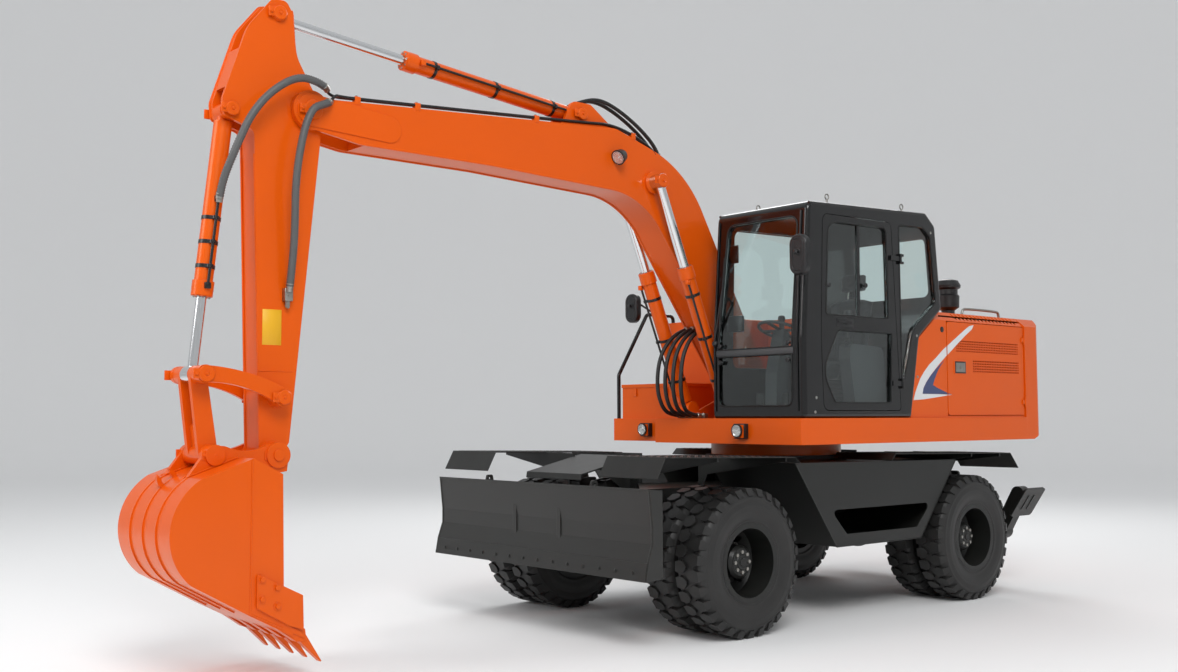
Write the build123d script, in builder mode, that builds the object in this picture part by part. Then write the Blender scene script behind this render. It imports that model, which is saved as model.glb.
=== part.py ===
from build123d import *
import os
from math import atan2, cos, degrees, hypot, radians, sin

os.makedirs("parts", exist_ok=True)

# A wheeled excavator, in millimetres. +X points forward, +Y to the machine's left and +Z up from the floor.
# The origin is on the floor under the middle of the machine. Places along X are given from the slew axis,
# and slew_x carries them into the part's frame.
slew_x = -1580
sides = (("left", 1), ("right", -1))
pin_fit = 0.1
seat_gap = 0.3

# Wheels: twin tyres on each side of each axle
tyre_radius = 527
tyre_width = 278
tyre_tread_width = 214
twin_spacing = 318
outer_tyre_y = 1120
rim_radius = 262
rim_wall = 18
rim_flange_radius = 283
rim_half_width = 118
front_axle_x = 1700
rear_axle_x = -1120
kingpin_y = 550
spindle_radius = 70
spindle_end_y = 900
hub_start_y = 700

# Chassis: a box beam with a step box on each flank and a drum under the slew ring
chassis_rear_x = -1950
chassis_front_x = 2030
chassis_half_width = 330
chassis_bottom_z = 705
chassis_top_z = 1010
chassis_wall = 16
drum_radius = 540
drum_top_z = 1130
ring_radius = 607
ring_bore_radius = 480
ring_top_z = 1235
step_box_outer_y = 1190
step_box_wall = 14
step_box_outline = ((1150, 1213), (680, 565), (-410, 565), (-935, 1190))
step_box_cutout = ((740, 846), (550, 655), (-356, 655), (-560, 846))
fender_inner_y = 660
fender_outer_y = 1250
fender_plate = 6

# Dozer blade, carried by two lower arms and two upper links that make a parallelogram
blade_half_width = 1242
blade_face = ((2673, 1080), (2646, 830), (2646, 720), (2688, 600), (2710, 478))
blade_plate = 14
blade_back_x = 2560
blade_arm_length = 500
blade_arm_angle = 35
blade_lower_pivot = (2062, 420)
blade_upper_pivot = (2062, 655)
blade_bracket_y = (240, 280)
blade_arm_y = (280 + seat_gap, 320)
blade_cylinder_y = 150
blade_cylinder_base = (2125, 1050)
blade_cylinder_reach = 250
blade_cover = ((1950, 1268), (2490, 1148), (2498, 1104), (2488, 1102), (2481, 1139), (1950, 1257))
blade_cover_half_width = 322

# Outriggers, folded up behind the rear wheels. Their outlines are in Y and Z.
outrigger_x = -2160
outrigger_pivot = (360, 550)
outrigger_elbow = (870, 500)
outrigger_foot_pin = (1060, 850)
outrigger_lug = (800, 720)
outrigger_cylinder_base = (300, 950)
outrigger_width = 110
outrigger_level_angle = 57
lashing_hole_place = (215, 560)
lashing_hole_radius = 28
foot_pad_centre = (1130, 765)
foot_pad_length = 300
foot_pad_width = 340

# Upper frame
deck_half_width = 1246
deck_bottom_z = 1347
deck_top_z = 1545
deck_front_x = 1140
deck_right_front_x = 780
deck_rear_x = -2000
deck_wall = 16

# Boom, arm and bucket pivots, in X and Z
boom_foot = (330, 1750)
boom_cylinder_base = (860, 1630)
boom_cylinder_top = (1600, 3410)
boom_cylinder_y = 225
arm_pivot = (4580, 3522)
arm_cylinder_base = (2285, 3865)
arm_cylinder_top = (4796, 4116)
bucket_cylinder_base = (5101, 3456)
bucket_pivot = (4807, 1334)
guide_pivot = (4779, 1688)
link_top = (5280, 1825)
link_foot = (5210, 1343)
boom_half_width = 150
boom_plate = 14
arm_half_width = 105
arm_plate = 12
bucket_half_width = 400
bucket_plate = 20


def across(y):
    """A plane that stands along the machine at this Y. Its local x and y are X from the slew axis and Z."""
    return Plane(origin=(slew_x, y, 0), x_dir=(1, 0, 0), z_dir=(0, -1, 0))


def facing(x):
    """A plane that stands across the machine at this X. Its local x and y are Y and Z."""
    return Plane(origin=(slew_x + x, 0, 0), x_dir=(0, 1, 0), z_dir=(1, 0, 0))


def level(z):
    """A level plane at this Z. Its local x and y are X from the slew axis and Y."""
    return Plane(origin=(slew_x, 0, z), x_dir=(1, 0, 0), z_dir=(0, 0, 1))


def draw(sketch, points):
    """Draws a closed outline. A third number in a point is the radius of its corner."""
    Polygon(*[point[:2] for point in points], align=None)
    for point in points:
        if len(point) == 3:
            fillet(sketch.vertices().sort_by_distance((point[0], point[1], 0))[0], point[2])


def plate_y(points, y_low, y_high, mode=Mode.ADD, corner=0):
    """A plate cut to an outline in X and Z, between two values of Y."""
    with BuildSketch(across(y_high)) as outline:
        draw(outline, points)
        if corner:
            fillet(outline.vertices(), corner)
    extrude(outline.sketch, amount=y_high - y_low, mode=mode)


def plate_x(points, x_low, x_high, mode=Mode.ADD, corner=0):
    """A plate cut to an outline in Y and Z, between two values of X."""
    with BuildSketch(facing(x_low)) as outline:
        draw(outline, points)
        if corner:
            fillet(outline.vertices(), corner)
    extrude(outline.sketch, amount=x_high - x_low, mode=mode)


def round_y(pin, radius, y_low, y_high, mode=Mode.ADD):
    """A round bar or bore across the machine, about a pin at (X, Z)."""
    with BuildSketch(across(y_high)) as disc:
        with Locations(pin):
            Circle(radius)
    extrude(disc.sketch, amount=y_high - y_low, mode=mode)


def round_x(pin, radius, x_low, x_high, mode=Mode.ADD):
    """A round bar or bore along the machine, about a pin at (Y, Z)."""
    with BuildSketch(facing(x_low)) as disc:
        with Locations(pin):
            Circle(radius)
    extrude(disc.sketch, amount=x_high - x_low, mode=mode)


def round_z(pin, radius, z_low, z_high, mode=Mode.ADD):
    """An upright round bar or bore, about a pin at (X, Y)."""
    with BuildSketch(level(z_low)) as disc:
        with Locations(pin):
            Circle(radius)
    extrude(disc.sketch, amount=z_high - z_low, mode=mode)


def block(low, high, mode=Mode.ADD):
    """A straight block between two corners."""
    middle = [(a + b) / 2 for a, b in zip(low, high)]
    with Locations((slew_x + middle[0], middle[1], middle[2])):
        Box(*[b - a for a, b in zip(low, high)], mode=mode)


def link_y(start, finish, radius, y_low, y_high, mode=Mode.ADD, end_radius=None):
    """A flat link with round ends about two pins at (X, Z)."""
    end = end_radius or radius
    length = hypot(finish[0] - start[0], finish[1] - start[1])
    angle = degrees(atan2(finish[1] - start[1], finish[0] - start[0]))
    with BuildSketch(across(y_high)) as shape:
        with Locations(start):
            Circle(radius)
        with Locations(finish):
            Circle(end)
        with Locations(Location((start[0], start[1], 0), (0, 0, angle))):
            Polygon((0, -radius), (length, -end), (length, end), (0, radius), align=None)
    extrude(shape.sketch, amount=y_high - y_low, mode=mode)


def toward(start, finish, y):
    """A plane at a pin (X, Z), whose normal points at another pin."""
    return Plane(
        origin=(slew_x + start[0], y, start[1]),
        x_dir=(0, 1, 0),
        z_dir=(finish[0] - start[0], 0, finish[1] - start[1]),
    )


def round_along(plane, radius, start, finish, mode=Mode.ADD):
    """A round bar or bore along a plane's normal."""
    with BuildSketch(plane.offset(start)) as disc:
        Circle(radius)
    extrude(disc.sketch, amount=finish - start, mode=mode)


def barrel(plane, size):
    """A cylinder's barrel from its base pin: the tube, its gland and its bore. The eye is made after it."""
    length, radius, rod_radius = size["barrel_length"], size["barrel_radius"], size["rod_radius"]
    floor = size["eye_radius"] + 30
    round_along(plane, 0.7 * radius, 0.5 * size["eye_radius"], size["eye_radius"] + 20)
    round_along(plane, radius, size["eye_radius"] + 12, length)
    round_along(plane, radius + 9, length - size["gland"], length - 4)
    round_along(plane, radius - size["wall"], floor, length - size["gland"] - 12, Mode.SUBTRACT)
    round_along(plane, rod_radius + 0.5, floor, length, Mode.SUBTRACT)


def rod(plane, size, eye_distance):
    """The rod, from its piston to its eye."""
    round_along(plane, size["rod_radius"], size["piston_at"], eye_distance - 0.5 * size["eye_radius"])
    piston_end = size["piston_at"] + size["piston"]
    round_along(plane, size["barrel_radius"] - size["wall"] - 0.5, size["piston_at"], piston_end)


def distance(start, finish):
    return hypot(finish[0] - start[0], finish[1] - start[1])


def fixed_hinge(pin, radius, heights, leaf_x, leaf_y):
    """The half of an upright hinge that stays: a pin between two knuckles at each height, with their leaves."""
    for z in heights:
        for low in (z - 40, z + 20 + seat_gap):
            round_z(pin, radius, low, low + 20 - seat_gap)
            block((min(leaf_x, pin[0]), min(leaf_y, pin[1]), low), (max(leaf_x, pin[0]), max(leaf_y, pin[1]), low + 19.7))
        round_z(pin, 0.5 * radius, z - 40, z + 40)


def moving_hinge(pin, radius, heights, leaf_x, leaf_y):
    """The half that moves with the door: one knuckle at each height. Its leaf stands off the fixed wall."""
    for z in heights:
        round_z(pin, radius, z - 20, z + 20)
        block((pin[0], min(pin[1], leaf_y), z - 20), (leaf_x, max(pin[1], leaf_y), z + 20))
        round_z(pin, 0.5 * radius + pin_fit, z - 25, z + 25, Mode.SUBTRACT)


# Tyres and rims: one twin wheel at each corner
for axle, axle_x in (("front", front_axle_x), ("rear", rear_axle_x)):
    for side, sign in sides:
        wheel_plane = Plane(origin=(slew_x + axle_x, 0, tyre_radius), x_dir=(0, sign, 0), z_dir=(sign, 0, 0))
        wheel_axis = Axis((slew_x + axle_x, 0, tyre_radius), (0, sign, 0))
        half = tyre_width / 2
        tread = tyre_tread_width / 2
        # The half section of a tyre: distance from its middle, radius
        tyre_half_section = ((100, rim_radius), (half, 392), (half - 9, 476), (tread, tyre_radius))
        with BuildPart() as tyres:
            for tyre_y in (outer_tyre_y, outer_tyre_y - twin_spacing):
                with BuildSketch(wheel_plane):
                    right_side = [(tyre_y + y, r) for y, r in tyre_half_section]
                    left_side = [(tyre_y - y, r) for y, r in reversed(tyre_half_section)]
                    Polygon(*right_side, *left_side, align=None)
            revolve(axis=wheel_axis)
        tyres.part.label = f"tyres_{axle}_{side}"
        export_step(tyres.part, f"parts/tyres_{axle}_{side}.step")

        seat = rim_radius - seat_gap
        inside = rim_radius - rim_wall
        middle_y = outer_tyre_y - twin_spacing / 2 - 10
        with BuildPart() as rims:
            with BuildSketch(wheel_plane):
                for ring_y in (outer_tyre_y, outer_tyre_y - twin_spacing):
                    edge = rim_half_width
                    ring = ((edge, rim_flange_radius), (edge - 10, rim_flange_radius), (edge - 10, seat))
                    right_side = [(ring_y + y, r) for y, r in ring]
                    left_side = [(ring_y - y, r) for y, r in reversed(ring)]
                    Polygon(*right_side, *left_side, (ring_y - edge, inside), (ring_y + edge, inside), align=None)
                # The two dished discs, bolted back to back
                for lean in (1, -1):
                    disc = ((0, 130), (0, 198), (58, inside + 5), (86, inside + 5), (16, 190), (16, 130))
                    Polygon(*[(middle_y + lean * y, r) for y, r in disc], align=None)
                # The hub with its planetary cover
                hub = ((hub_start_y, 140), (1010, 140), (1010, 122), (1130, 118), (1150, 98), (1150, 0))
                Polygon(*hub, (hub_start_y, 0), align=None)
            revolve(axis=wheel_axis)
            with BuildSketch(wheel_plane) as hub_bore:
                Polygon((0, 0), (spindle_end_y + 4, 0), (spindle_end_y + 4, spindle_radius + pin_fit),
                        (0, spindle_radius + pin_fit), align=None)
            revolve(hub_bore.sketch, axis=wheel_axis, mode=Mode.SUBTRACT)
            hole_plane = Plane(
                origin=(slew_x + axle_x, sign * (middle_y - 60), tyre_radius), x_dir=(1, 0, 0), z_dir=(0, sign, 0)
            )
            with BuildSketch(hole_plane) as hand_holes:
                with PolarLocations(196, 8):
                    Circle(26)
            extrude(hand_holes.sketch, amount=120, mode=Mode.SUBTRACT)
        rims.part.label = f"rims_{axle}_{side}"
        export_step(rims.part, f"parts/rims_{axle}_{side}.step")

# Front axle: a beam with a differential and a yoke at each end for the kingpin
yoke_z = (118, 163)
with BuildPart() as front_axle:
    round_y((front_axle_x, tyre_radius), 92, -470, 470)
    with Locations((slew_x + front_axle_x, 0, tyre_radius)):
        Sphere(170)
    with BuildSketch(facing(front_axle_x - 330)) as pinion:
        with Locations((0, tyre_radius)):
            Circle(75)
    extrude(pinion.sketch, amount=250)
    for side, sign in sides:
        block((front_axle_x - 110, sign * 240 - 60, tyre_radius), (front_axle_x + 110, sign * 240 + 60, chassis_bottom_z))
        end = sorted((sign * 420, sign * 470))
        plate_y(
            ((front_axle_x - 80, 364), (front_axle_x + 80, 364), (front_axle_x + 80, 690), (front_axle_x - 80, 690)),
            *end,
        )
        for low, high in ((tyre_radius + yoke_z[0], tyre_radius + yoke_z[1]),
                          (tyre_radius - yoke_z[1], tyre_radius - yoke_z[0])):
            with BuildSketch(level(low)) as yoke:
                with Locations((front_axle_x, sign * kingpin_y)):
                    Circle(72)
                with Locations((front_axle_x, sign * (kingpin_y + 430) / 2)):
                    Rectangle(144, kingpin_y - 430)
            extrude(yoke.sketch, amount=high - low)
            round_z((front_axle_x, sign * kingpin_y), 30 + pin_fit, low, high, Mode.SUBTRACT)
front_axle.part.label = "front_axle"
export_step(front_axle.part, "parts/front_axle.step")

# Rear axle
with BuildPart() as rear_axle:
    round_y((rear_axle_x, tyre_radius), 100, -640, 640)
    with Locations((slew_x + rear_axle_x, 0, tyre_radius)):
        Sphere(170)
    with BuildSketch(facing(rear_axle_x + 80)) as pinion:
        with Locations((0, tyre_radius)):
            Circle(75)
    extrude(pinion.sketch, amount=250)
    for side, sign in sides:
        block((rear_axle_x - 120, sign * 240 - 60, tyre_radius), (rear_axle_x + 120, sign * 240 + 60, chassis_bottom_z))
        round_y((rear_axle_x, tyre_radius), 135, *sorted((sign * 600, sign * 640)))
        round_y((rear_axle_x, tyre_radius), spindle_radius, *sorted((sign * 600, sign * spindle_end_y)))
rear_axle.part.label = "rear_axle"
export_step(rear_axle.part, "parts/rear_axle.step")

# Steering knuckles: kingpin, spindle, brake plate and steering arm
steer_arm = 260
steer_arm_z = (415, 445)
for side, sign in sides:
    with BuildPart() as knuckle:
        body_low = tyre_radius - yoke_z[0] + seat_gap
        body_high = tyre_radius + yoke_z[0] - seat_gap
        round_z((front_axle_x, sign * kingpin_y), 76, body_low, body_high)
        round_z((front_axle_x, sign * kingpin_y), 30, tyre_radius - yoke_z[1] - 8, tyre_radius + yoke_z[1] + 8)
        round_y((front_axle_x, tyre_radius), spindle_radius, *sorted((sign * kingpin_y, sign * spindle_end_y)))
        round_y((front_axle_x, tyre_radius), 132, *sorted((sign * 640, sign * 690)))
        with BuildSketch(level(steer_arm_z[0])) as arm_shape:
            with Locations((front_axle_x - steer_arm, sign * kingpin_y)):
                Circle(34)
            with Locations((front_axle_x - steer_arm / 2, sign * kingpin_y)):
                Rectangle(steer_arm, 46)
        extrude(arm_shape.sketch, amount=steer_arm_z[1] - steer_arm_z[0])
        round_z((front_axle_x - steer_arm, sign * kingpin_y), 12.5, steer_arm_z[0], steer_arm_z[1], Mode.SUBTRACT)
    knuckle.part.label = f"knuckle_{side}"
    export_step(knuckle.part, f"parts/knuckle_{side}.step")

# The tie rod joins the two steering arms and keeps the wheels parallel
with BuildPart() as tie_rod:
    round_y((front_axle_x - steer_arm, 392), 19, -kingpin_y, kingpin_y)
    for side, sign in sides:
        round_z((front_axle_x - steer_arm, sign * kingpin_y), 30, 372, steer_arm_z[0] - seat_gap)
        round_z((front_axle_x - steer_arm, sign * kingpin_y), 12, 372, steer_arm_z[1])
tie_rod.part.label = "tie_rod"
export_step(tie_rod.part, "parts/tie_rod.step")

# Driveline: the gearbox under the beam and its two propeller shafts
gearbox_x = 250
with BuildPart() as driveline:
    block((gearbox_x - 190, -170, 400), (gearbox_x + 190, 170, chassis_bottom_z))
    for start, finish in ((gearbox_x + 190, front_axle_x - 330), (rear_axle_x + 330, gearbox_x - 190)):
        round_x((0, tyre_radius), 38, start, finish)
        round_x((0, tyre_radius), 66, start, start + 30)
        round_x((0, tyre_radius), 66, finish - 30, finish)
driveline.part.label = "driveline"
export_step(driveline.part, "parts/driveline.step")

# Chassis frame
wall = chassis_wall
with BuildPart() as chassis_frame:
    # Flank boxes with their steps, clear of the slew ring
    for side, sign in sides:
        inner, outer = chassis_half_width - 20, step_box_outer_y
        plate_y(step_box_outline, *sorted((sign * inner, sign * outer)))
    round_z((0, 0), ring_radius + 40, drum_top_z, deck_bottom_z, Mode.SUBTRACT)
    for side, sign in sides:
        inner, outer = chassis_half_width, step_box_outer_y - step_box_wall
        with BuildSketch(across(max(sign * inner, sign * outer))) as hollow:
            Polygon(*step_box_outline, align=None)
            offset(amount=-step_box_wall)
        extrude(hollow.sketch, amount=outer - inner, mode=Mode.SUBTRACT)
        plate_y(step_box_cutout, *sorted((sign * outer, sign * (outer + 40))), mode=Mode.SUBTRACT, corner=30)
        block((-650, min(sign * 330, sign * 1180), 906), (860, max(sign * 330, sign * 1180), 920))
    # Beam
    block((chassis_rear_x, -chassis_half_width, chassis_bottom_z), (chassis_front_x, chassis_half_width, chassis_top_z))
    round_z((0, 0), drum_radius, 900, drum_top_z)
    block(
        (chassis_rear_x + wall, -chassis_half_width + wall, chassis_bottom_z + wall),
        (chassis_front_x - wall, chassis_half_width - wall, chassis_top_z - wall),
        Mode.SUBTRACT,
    )
    round_z((0, 0), ring_bore_radius, chassis_top_z - 40, drum_top_z, Mode.SUBTRACT)
    # Brackets for the dozer blade and its cylinders
    for side, sign in sides:
        bracket = ((1850, 720), (1960, 380), (2010, 362), (2112, 362), (2120, 740), (2058, 1000), (1850, 1000))
        plate_y(bracket, *sorted((sign * blade_bracket_y[0], sign * blade_bracket_y[1])))
        for pivot in (blade_lower_pivot, blade_upper_pivot):
            round_y(pivot, 24, *sorted((sign * blade_bracket_y[0], sign * (blade_arm_y[1] + 12))))
        for lug_y in (blade_cylinder_y - 72, blade_cylinder_y + 47):
            lug = ((2000, 960), (2064, 900), (2165, 1000), (2165, 1085), (2090, 1100), (2000, 1100))
            plate_y(lug, *sorted((sign * lug_y, sign * (lug_y + 25))), corner=20)
        round_y(blade_cylinder_base, 20, *sorted((sign * (blade_cylinder_y - 72), sign * (blade_cylinder_y + 72))))
    # The sloped cover over the blade's cylinders, on a gusset at each side
    plate_y(blade_cover, -blade_cover_half_width, blade_cover_half_width)
    for side, sign in sides:
        gusset = ((1880, 1000), (2024, 1000), (2290, 1181), (1960, 1254))
        plate_y(gusset, *sorted((sign * (blade_cover_half_width - 46), sign * (blade_cover_half_width - 34))))
    # Rear cross frame for the outriggers
    for plate_x_low in (outrigger_x - 85, outrigger_x + 60):
        outline = ((-430, 470), (430, 470), (430, 640), (370, 1030), (-370, 1030), (-430, 640))
        plate_x(outline, plate_x_low, plate_x_low + 25, corner=30)
    block((outrigger_x - 85, -150, 560), (chassis_rear_x + 5, 150, 1000))
    for side, sign in sides:
        for pin, radius in ((outrigger_pivot, 28), (outrigger_cylinder_base, 20)):
            round_x((sign * pin[0], pin[1]), radius, outrigger_x - 95, outrigger_x + 95)
        lashing_hole = (sign * lashing_hole_place[0], lashing_hole_place[1])
        round_x(lashing_hole, lashing_hole_radius, outrigger_x - 90, outrigger_x - 55, Mode.SUBTRACT)
chassis_frame.part.label = "chassis_frame"
export_step(chassis_frame.part, "parts/chassis_frame.step")

# Slew ring: the toothed ring bolted on the drum
with BuildPart() as slew_ring:
    round_z((0, 0), ring_radius, drum_top_z, ring_top_z)
    round_z((0, 0), ring_bore_radius, drum_top_z, ring_top_z, Mode.SUBTRACT)
slew_ring.part.label = "slew_ring"
export_step(slew_ring.part, "parts/slew_ring.step")

# Fenders: folded plates over the wheels, each on two brackets from the beam
fender_shapes = (
    # outline of the plate in X and Z, then where its brackets stand
    (((2612, 1150), (2535, 1290), (1210, 1262), (1162, 1222)), (1290, 2010)),
    (((40, 1211), (-13, 1262), (-1692, 1232), (-1816, 1100)), (-1560, -1120)),
)
with BuildPart() as fenders:
    for side, sign in sides:
        for fold_line, bracket_places in fender_shapes:
            low, high = sorted((sign * fender_inner_y, sign * fender_outer_y))
            under = [(x, z - fender_plate) for x, z in reversed(fold_line)]
            plate_y((*fold_line, *under), low, high)
            (front_x, front_z), (rear_x, rear_z) = fold_line[1], fold_line[2]
            for bracket_x in bracket_places:
                top = rear_z + (bracket_x - rear_x) / (front_x - rear_x) * (front_z - rear_z) - 3
                outline = ((sign * chassis_half_width, 950), (sign * chassis_half_width, top),
                           (sign * 1225, top), (sign * 1225, top - 30), (sign * 420, 1110))
                plate_x(outline, bracket_x - 7, bracket_x + 7)
fenders.part.label = "fenders"
export_step(fenders.part, "parts/fenders.step")

# Dozer blade
arm_step = (
    blade_arm_length * cos(radians(blade_arm_angle)),
    blade_arm_length * sin(radians(blade_arm_angle)),
)
blade_lower_pin = (blade_lower_pivot[0] + arm_step[0], blade_lower_pivot[1] + arm_step[1])
blade_upper_pin = (blade_upper_pivot[0] + arm_step[0], blade_upper_pivot[1] + arm_step[1])
with BuildPart() as dozer_blade:
    back = [(x - blade_plate, z) for x, z in reversed(blade_face)]
    plate_y((*blade_face, *back), -blade_half_width, blade_half_width)
    for side, sign in sides:
        low, high = sorted((sign * (blade_half_width - blade_plate), sign * blade_half_width))
        plate_y(((blade_back_x, 1072), *blade_face, (blade_back_x, 490)), low, high)
        for rib_y in (520, 860):
            plate_y(((blade_back_x + 20, 960), (2650, 960), (2640, 700), (2660, 560), (blade_back_x + 20, 560)),
                    *sorted((sign * rib_y, sign * (rib_y + 12))))
        lug = ((2400, 667), (2655, 540), (2655, 1015), (2400, 1010))
        plate_y(lug, *sorted((sign * blade_bracket_y[0], sign * blade_bracket_y[1])), corner=30)
        for pin in (blade_lower_pin, blade_upper_pin):
            round_y(pin, 24, *sorted((sign * blade_bracket_y[0], sign * (blade_arm_y[1] + 12))))
    block((blade_back_x, -blade_half_width + 5, 1060), (2665, blade_half_width - 5, 1072))
    block((blade_back_x + 10, -blade_half_width + 5, 600), (2670, blade_half_width - 5, 612))
    # The wear strip bolted along the foot of the face, and a lifting lug near each end of the top
    strip = [(x + 6, z) for x, z in blade_face[3:]]
    plate_y((*strip, *reversed(blade_face[3:])), 10 - blade_half_width, blade_half_width - 10)
    for lug_y in (-620, 620):
        lug_shape = ((2590, 1066), (2662, 1066), (2650, 1118, 14), (2602, 1118, 14))
        plate_y(lug_shape, lug_y - 9, lug_y + 9)
        round_y((2626, 1092), 11, lug_y - 9, lug_y + 9, Mode.SUBTRACT)
    block((blade_back_x, -blade_half_width + 5, 600), (blade_back_x + 12, blade_half_width - 5, 700))
dozer_blade.part.label = "dozer_blade"
export_step(dozer_blade.part, "parts/dozer_blade.step")

blade_cylinder_eye = (
    blade_lower_pivot[0] + blade_cylinder_reach * cos(radians(blade_arm_angle)),
    blade_lower_pivot[1] + blade_cylinder_reach * sin(radians(blade_arm_angle)),
)
blade_eye_half = 33
with BuildPart() as blade_arms:
    for side, sign in sides:
        low, high = sorted((sign * blade_arm_y[0], sign * blade_arm_y[1]))
        link_y(blade_lower_pivot, blade_lower_pin, 55, low, high)
        for pin in (blade_lower_pivot, blade_lower_pin):
            round_y(pin, 24 + pin_fit, low, high, Mode.SUBTRACT)
        for lug_y in (blade_cylinder_y - blade_eye_half - seat_gap - 22, blade_cylinder_y + blade_eye_half + seat_gap):
            low, high = sorted((sign * lug_y, sign * (lug_y + 22)))
            round_y(blade_cylinder_eye, 40, low, high)
    # The cross tube stands clear of the cylinder eyes
    tube_pin = (blade_cylinder_eye[0] + 86, blade_cylinder_eye[1] - 1)
    for side, sign in sides:
        for lug_y in (blade_cylinder_y - blade_eye_half - seat_gap - 22, blade_cylinder_y + blade_eye_half + seat_gap):
            low, high = sorted((sign * lug_y, sign * (lug_y + 22)))
            link_y(blade_cylinder_eye, tube_pin, 40, low, high)
    round_y(tube_pin, 38, -blade_arm_y[0] - 5, blade_arm_y[0] + 5)
blade_arms.part.label = "blade_arms"
export_step(blade_arms.part, "parts/blade_arms.step")

with BuildPart() as blade_links:
    for side, sign in sides:
        low, high = sorted((sign * blade_arm_y[0], sign * blade_arm_y[1]))
        link_y(blade_upper_pivot, blade_upper_pin, 42, low, high)
        for pin in (blade_upper_pivot, blade_upper_pin):
            round_y(pin, 24 + pin_fit, low, high, Mode.SUBTRACT)
blade_links.part.label = "blade_links"
export_step(blade_links.part, "parts/blade_links.step")

blade_cylinder = {
    "barrel_length": 445, "barrel_radius": 45, "rod_radius": 25, "eye_radius": 36, "wall": 8, "gland": 30,
    "piston_at": 80, "piston": 25,
}
with BuildPart() as blade_cylinder_barrels:
    for side, sign in sides:
        y = sign * blade_cylinder_y
        barrel(toward(blade_cylinder_base, blade_cylinder_eye, y), blade_cylinder)
        round_y(blade_cylinder_base, 36, y - 46.7, y + 46.7)
        round_y(blade_cylinder_base, 20 + pin_fit, y - 50, y + 50, Mode.SUBTRACT)
blade_cylinder_barrels.part.label = "blade_cylinder_barrels"
export_step(blade_cylinder_barrels.part, "parts/blade_cylinder_barrels.step")

with BuildPart() as blade_cylinder_rods:
    for side, sign in sides:
        y = sign * blade_cylinder_y
        reach = distance(blade_cylinder_base, blade_cylinder_eye)
        rod(toward(blade_cylinder_base, blade_cylinder_eye, y), blade_cylinder, reach)
        round_y(blade_cylinder_eye, 36, y - blade_eye_half, y + blade_eye_half)
blade_cylinder_rods.part.label = "blade_cylinder_rods"
export_step(blade_cylinder_rods.part, "parts/blade_cylinder_rods.step")

# Outriggers, one on each side
outrigger_cylinder = {
    "barrel_length": 450, "barrel_radius": 42, "rod_radius": 24, "eye_radius": 34, "wall": 8, "gland": 30,
    "piston_at": 70, "piston": 30,
}
for side, sign in sides:
    half = outrigger_width / 2
    pivot = (sign * outrigger_pivot[0], outrigger_pivot[1])
    elbow = (sign * outrigger_elbow[0], outrigger_elbow[1])
    foot_pin = (sign * outrigger_foot_pin[0], outrigger_foot_pin[1])
    lug = (sign * outrigger_lug[0], outrigger_lug[1])
    base = (sign * outrigger_cylinder_base[0], outrigger_cylinder_base[1])

    with BuildPart() as outrigger:
        for start, finish, radius in ((pivot, elbow, 75), (elbow, foot_pin, 62)):
            with BuildSketch(facing(outrigger_x - half)) as leg:
                with Locations(start):
                    Circle(radius)
                with Locations(finish):
                    Circle(radius)
                span = distance(start, finish)
                angle = degrees(atan2(finish[1] - start[1], finish[0] - start[0]))
                with Locations(Location(((start[0] + finish[0]) / 2, (start[1] + finish[1]) / 2, 0), (0, 0, angle))):
                    Rectangle(span, 2 * radius)
            extrude(leg.sketch, amount=outrigger_width)
        for lug_x in (outrigger_x - half, outrigger_x + 32 + seat_gap):
            plate_x(
                ((lug[0] - 40, lug[1] + 30), (lug[0] + 40, lug[1] + 30), (lug[0] + 60, lug[1] - 200), (lug[0] - 80, lug[1] - 200)),
                lug_x, lug_x + half - 32 - seat_gap, corner=20,
            )
        round_x(pivot, 28 + pin_fit, outrigger_x - half, outrigger_x + half, Mode.SUBTRACT)
        # The foot pad and its two ears
        tilt = sign * outrigger_level_angle
        pad_plane = Plane(
            origin=(slew_x + outrigger_x - 15, sign * foot_pad_centre[0], foot_pad_centre[1]),
            x_dir=(0, cos(radians(tilt)), sin(radians(tilt))),
            z_dir=(0, sin(radians(tilt)) * sign, -cos(radians(tilt)) * sign),
        )
        with BuildSketch(pad_plane) as pad:
            RectangleRounded(foot_pad_length, foot_pad_width, 30)
        extrude(pad.sketch, amount=-sign * 22)
        for ear_x in (outrigger_x - half, outrigger_x + half - 20):
            plate_x(
                ((foot_pin[0] - sign * 55, foot_pin[1] - 40), (foot_pin[0] + sign * 10, foot_pin[1] + 60),
                 (foot_pin[0] + sign * 118, foot_pin[1] - 22), (foot_pin[0] + sign * 34, foot_pin[1] - 150)),
                ear_x, ear_x + 20,
            )
    outrigger.part.label = f"outrigger_{side}"
    export_step(outrigger.part, f"parts/outrigger_{side}.step")

    cylinder_plane = Plane(
        origin=(slew_x + outrigger_x, base[0], base[1]), x_dir=(1, 0, 0), z_dir=(0, lug[0] - base[0], lug[1] - base[1])
    )
    with BuildPart() as outrigger_barrel:
        barrel(cylinder_plane, outrigger_cylinder)
        round_x(base, 34, outrigger_x - 40, outrigger_x + 40)
        round_x(base, 20 + pin_fit, outrigger_x - 50, outrigger_x + 50, Mode.SUBTRACT)
    outrigger_barrel.part.label = f"outrigger_barrel_{side}"
    export_step(outrigger_barrel.part, f"parts/outrigger_barrel_{side}.step")

    with BuildPart() as outrigger_rod:
        rod(cylinder_plane, outrigger_cylinder, distance(base, lug))
        round_x(lug, 34, outrigger_x - 32, outrigger_x + 32)
    outrigger_rod.part.label = f"outrigger_rod_{side}"
    export_step(outrigger_rod.part, f"parts/outrigger_rod_{side}.step")

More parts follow.
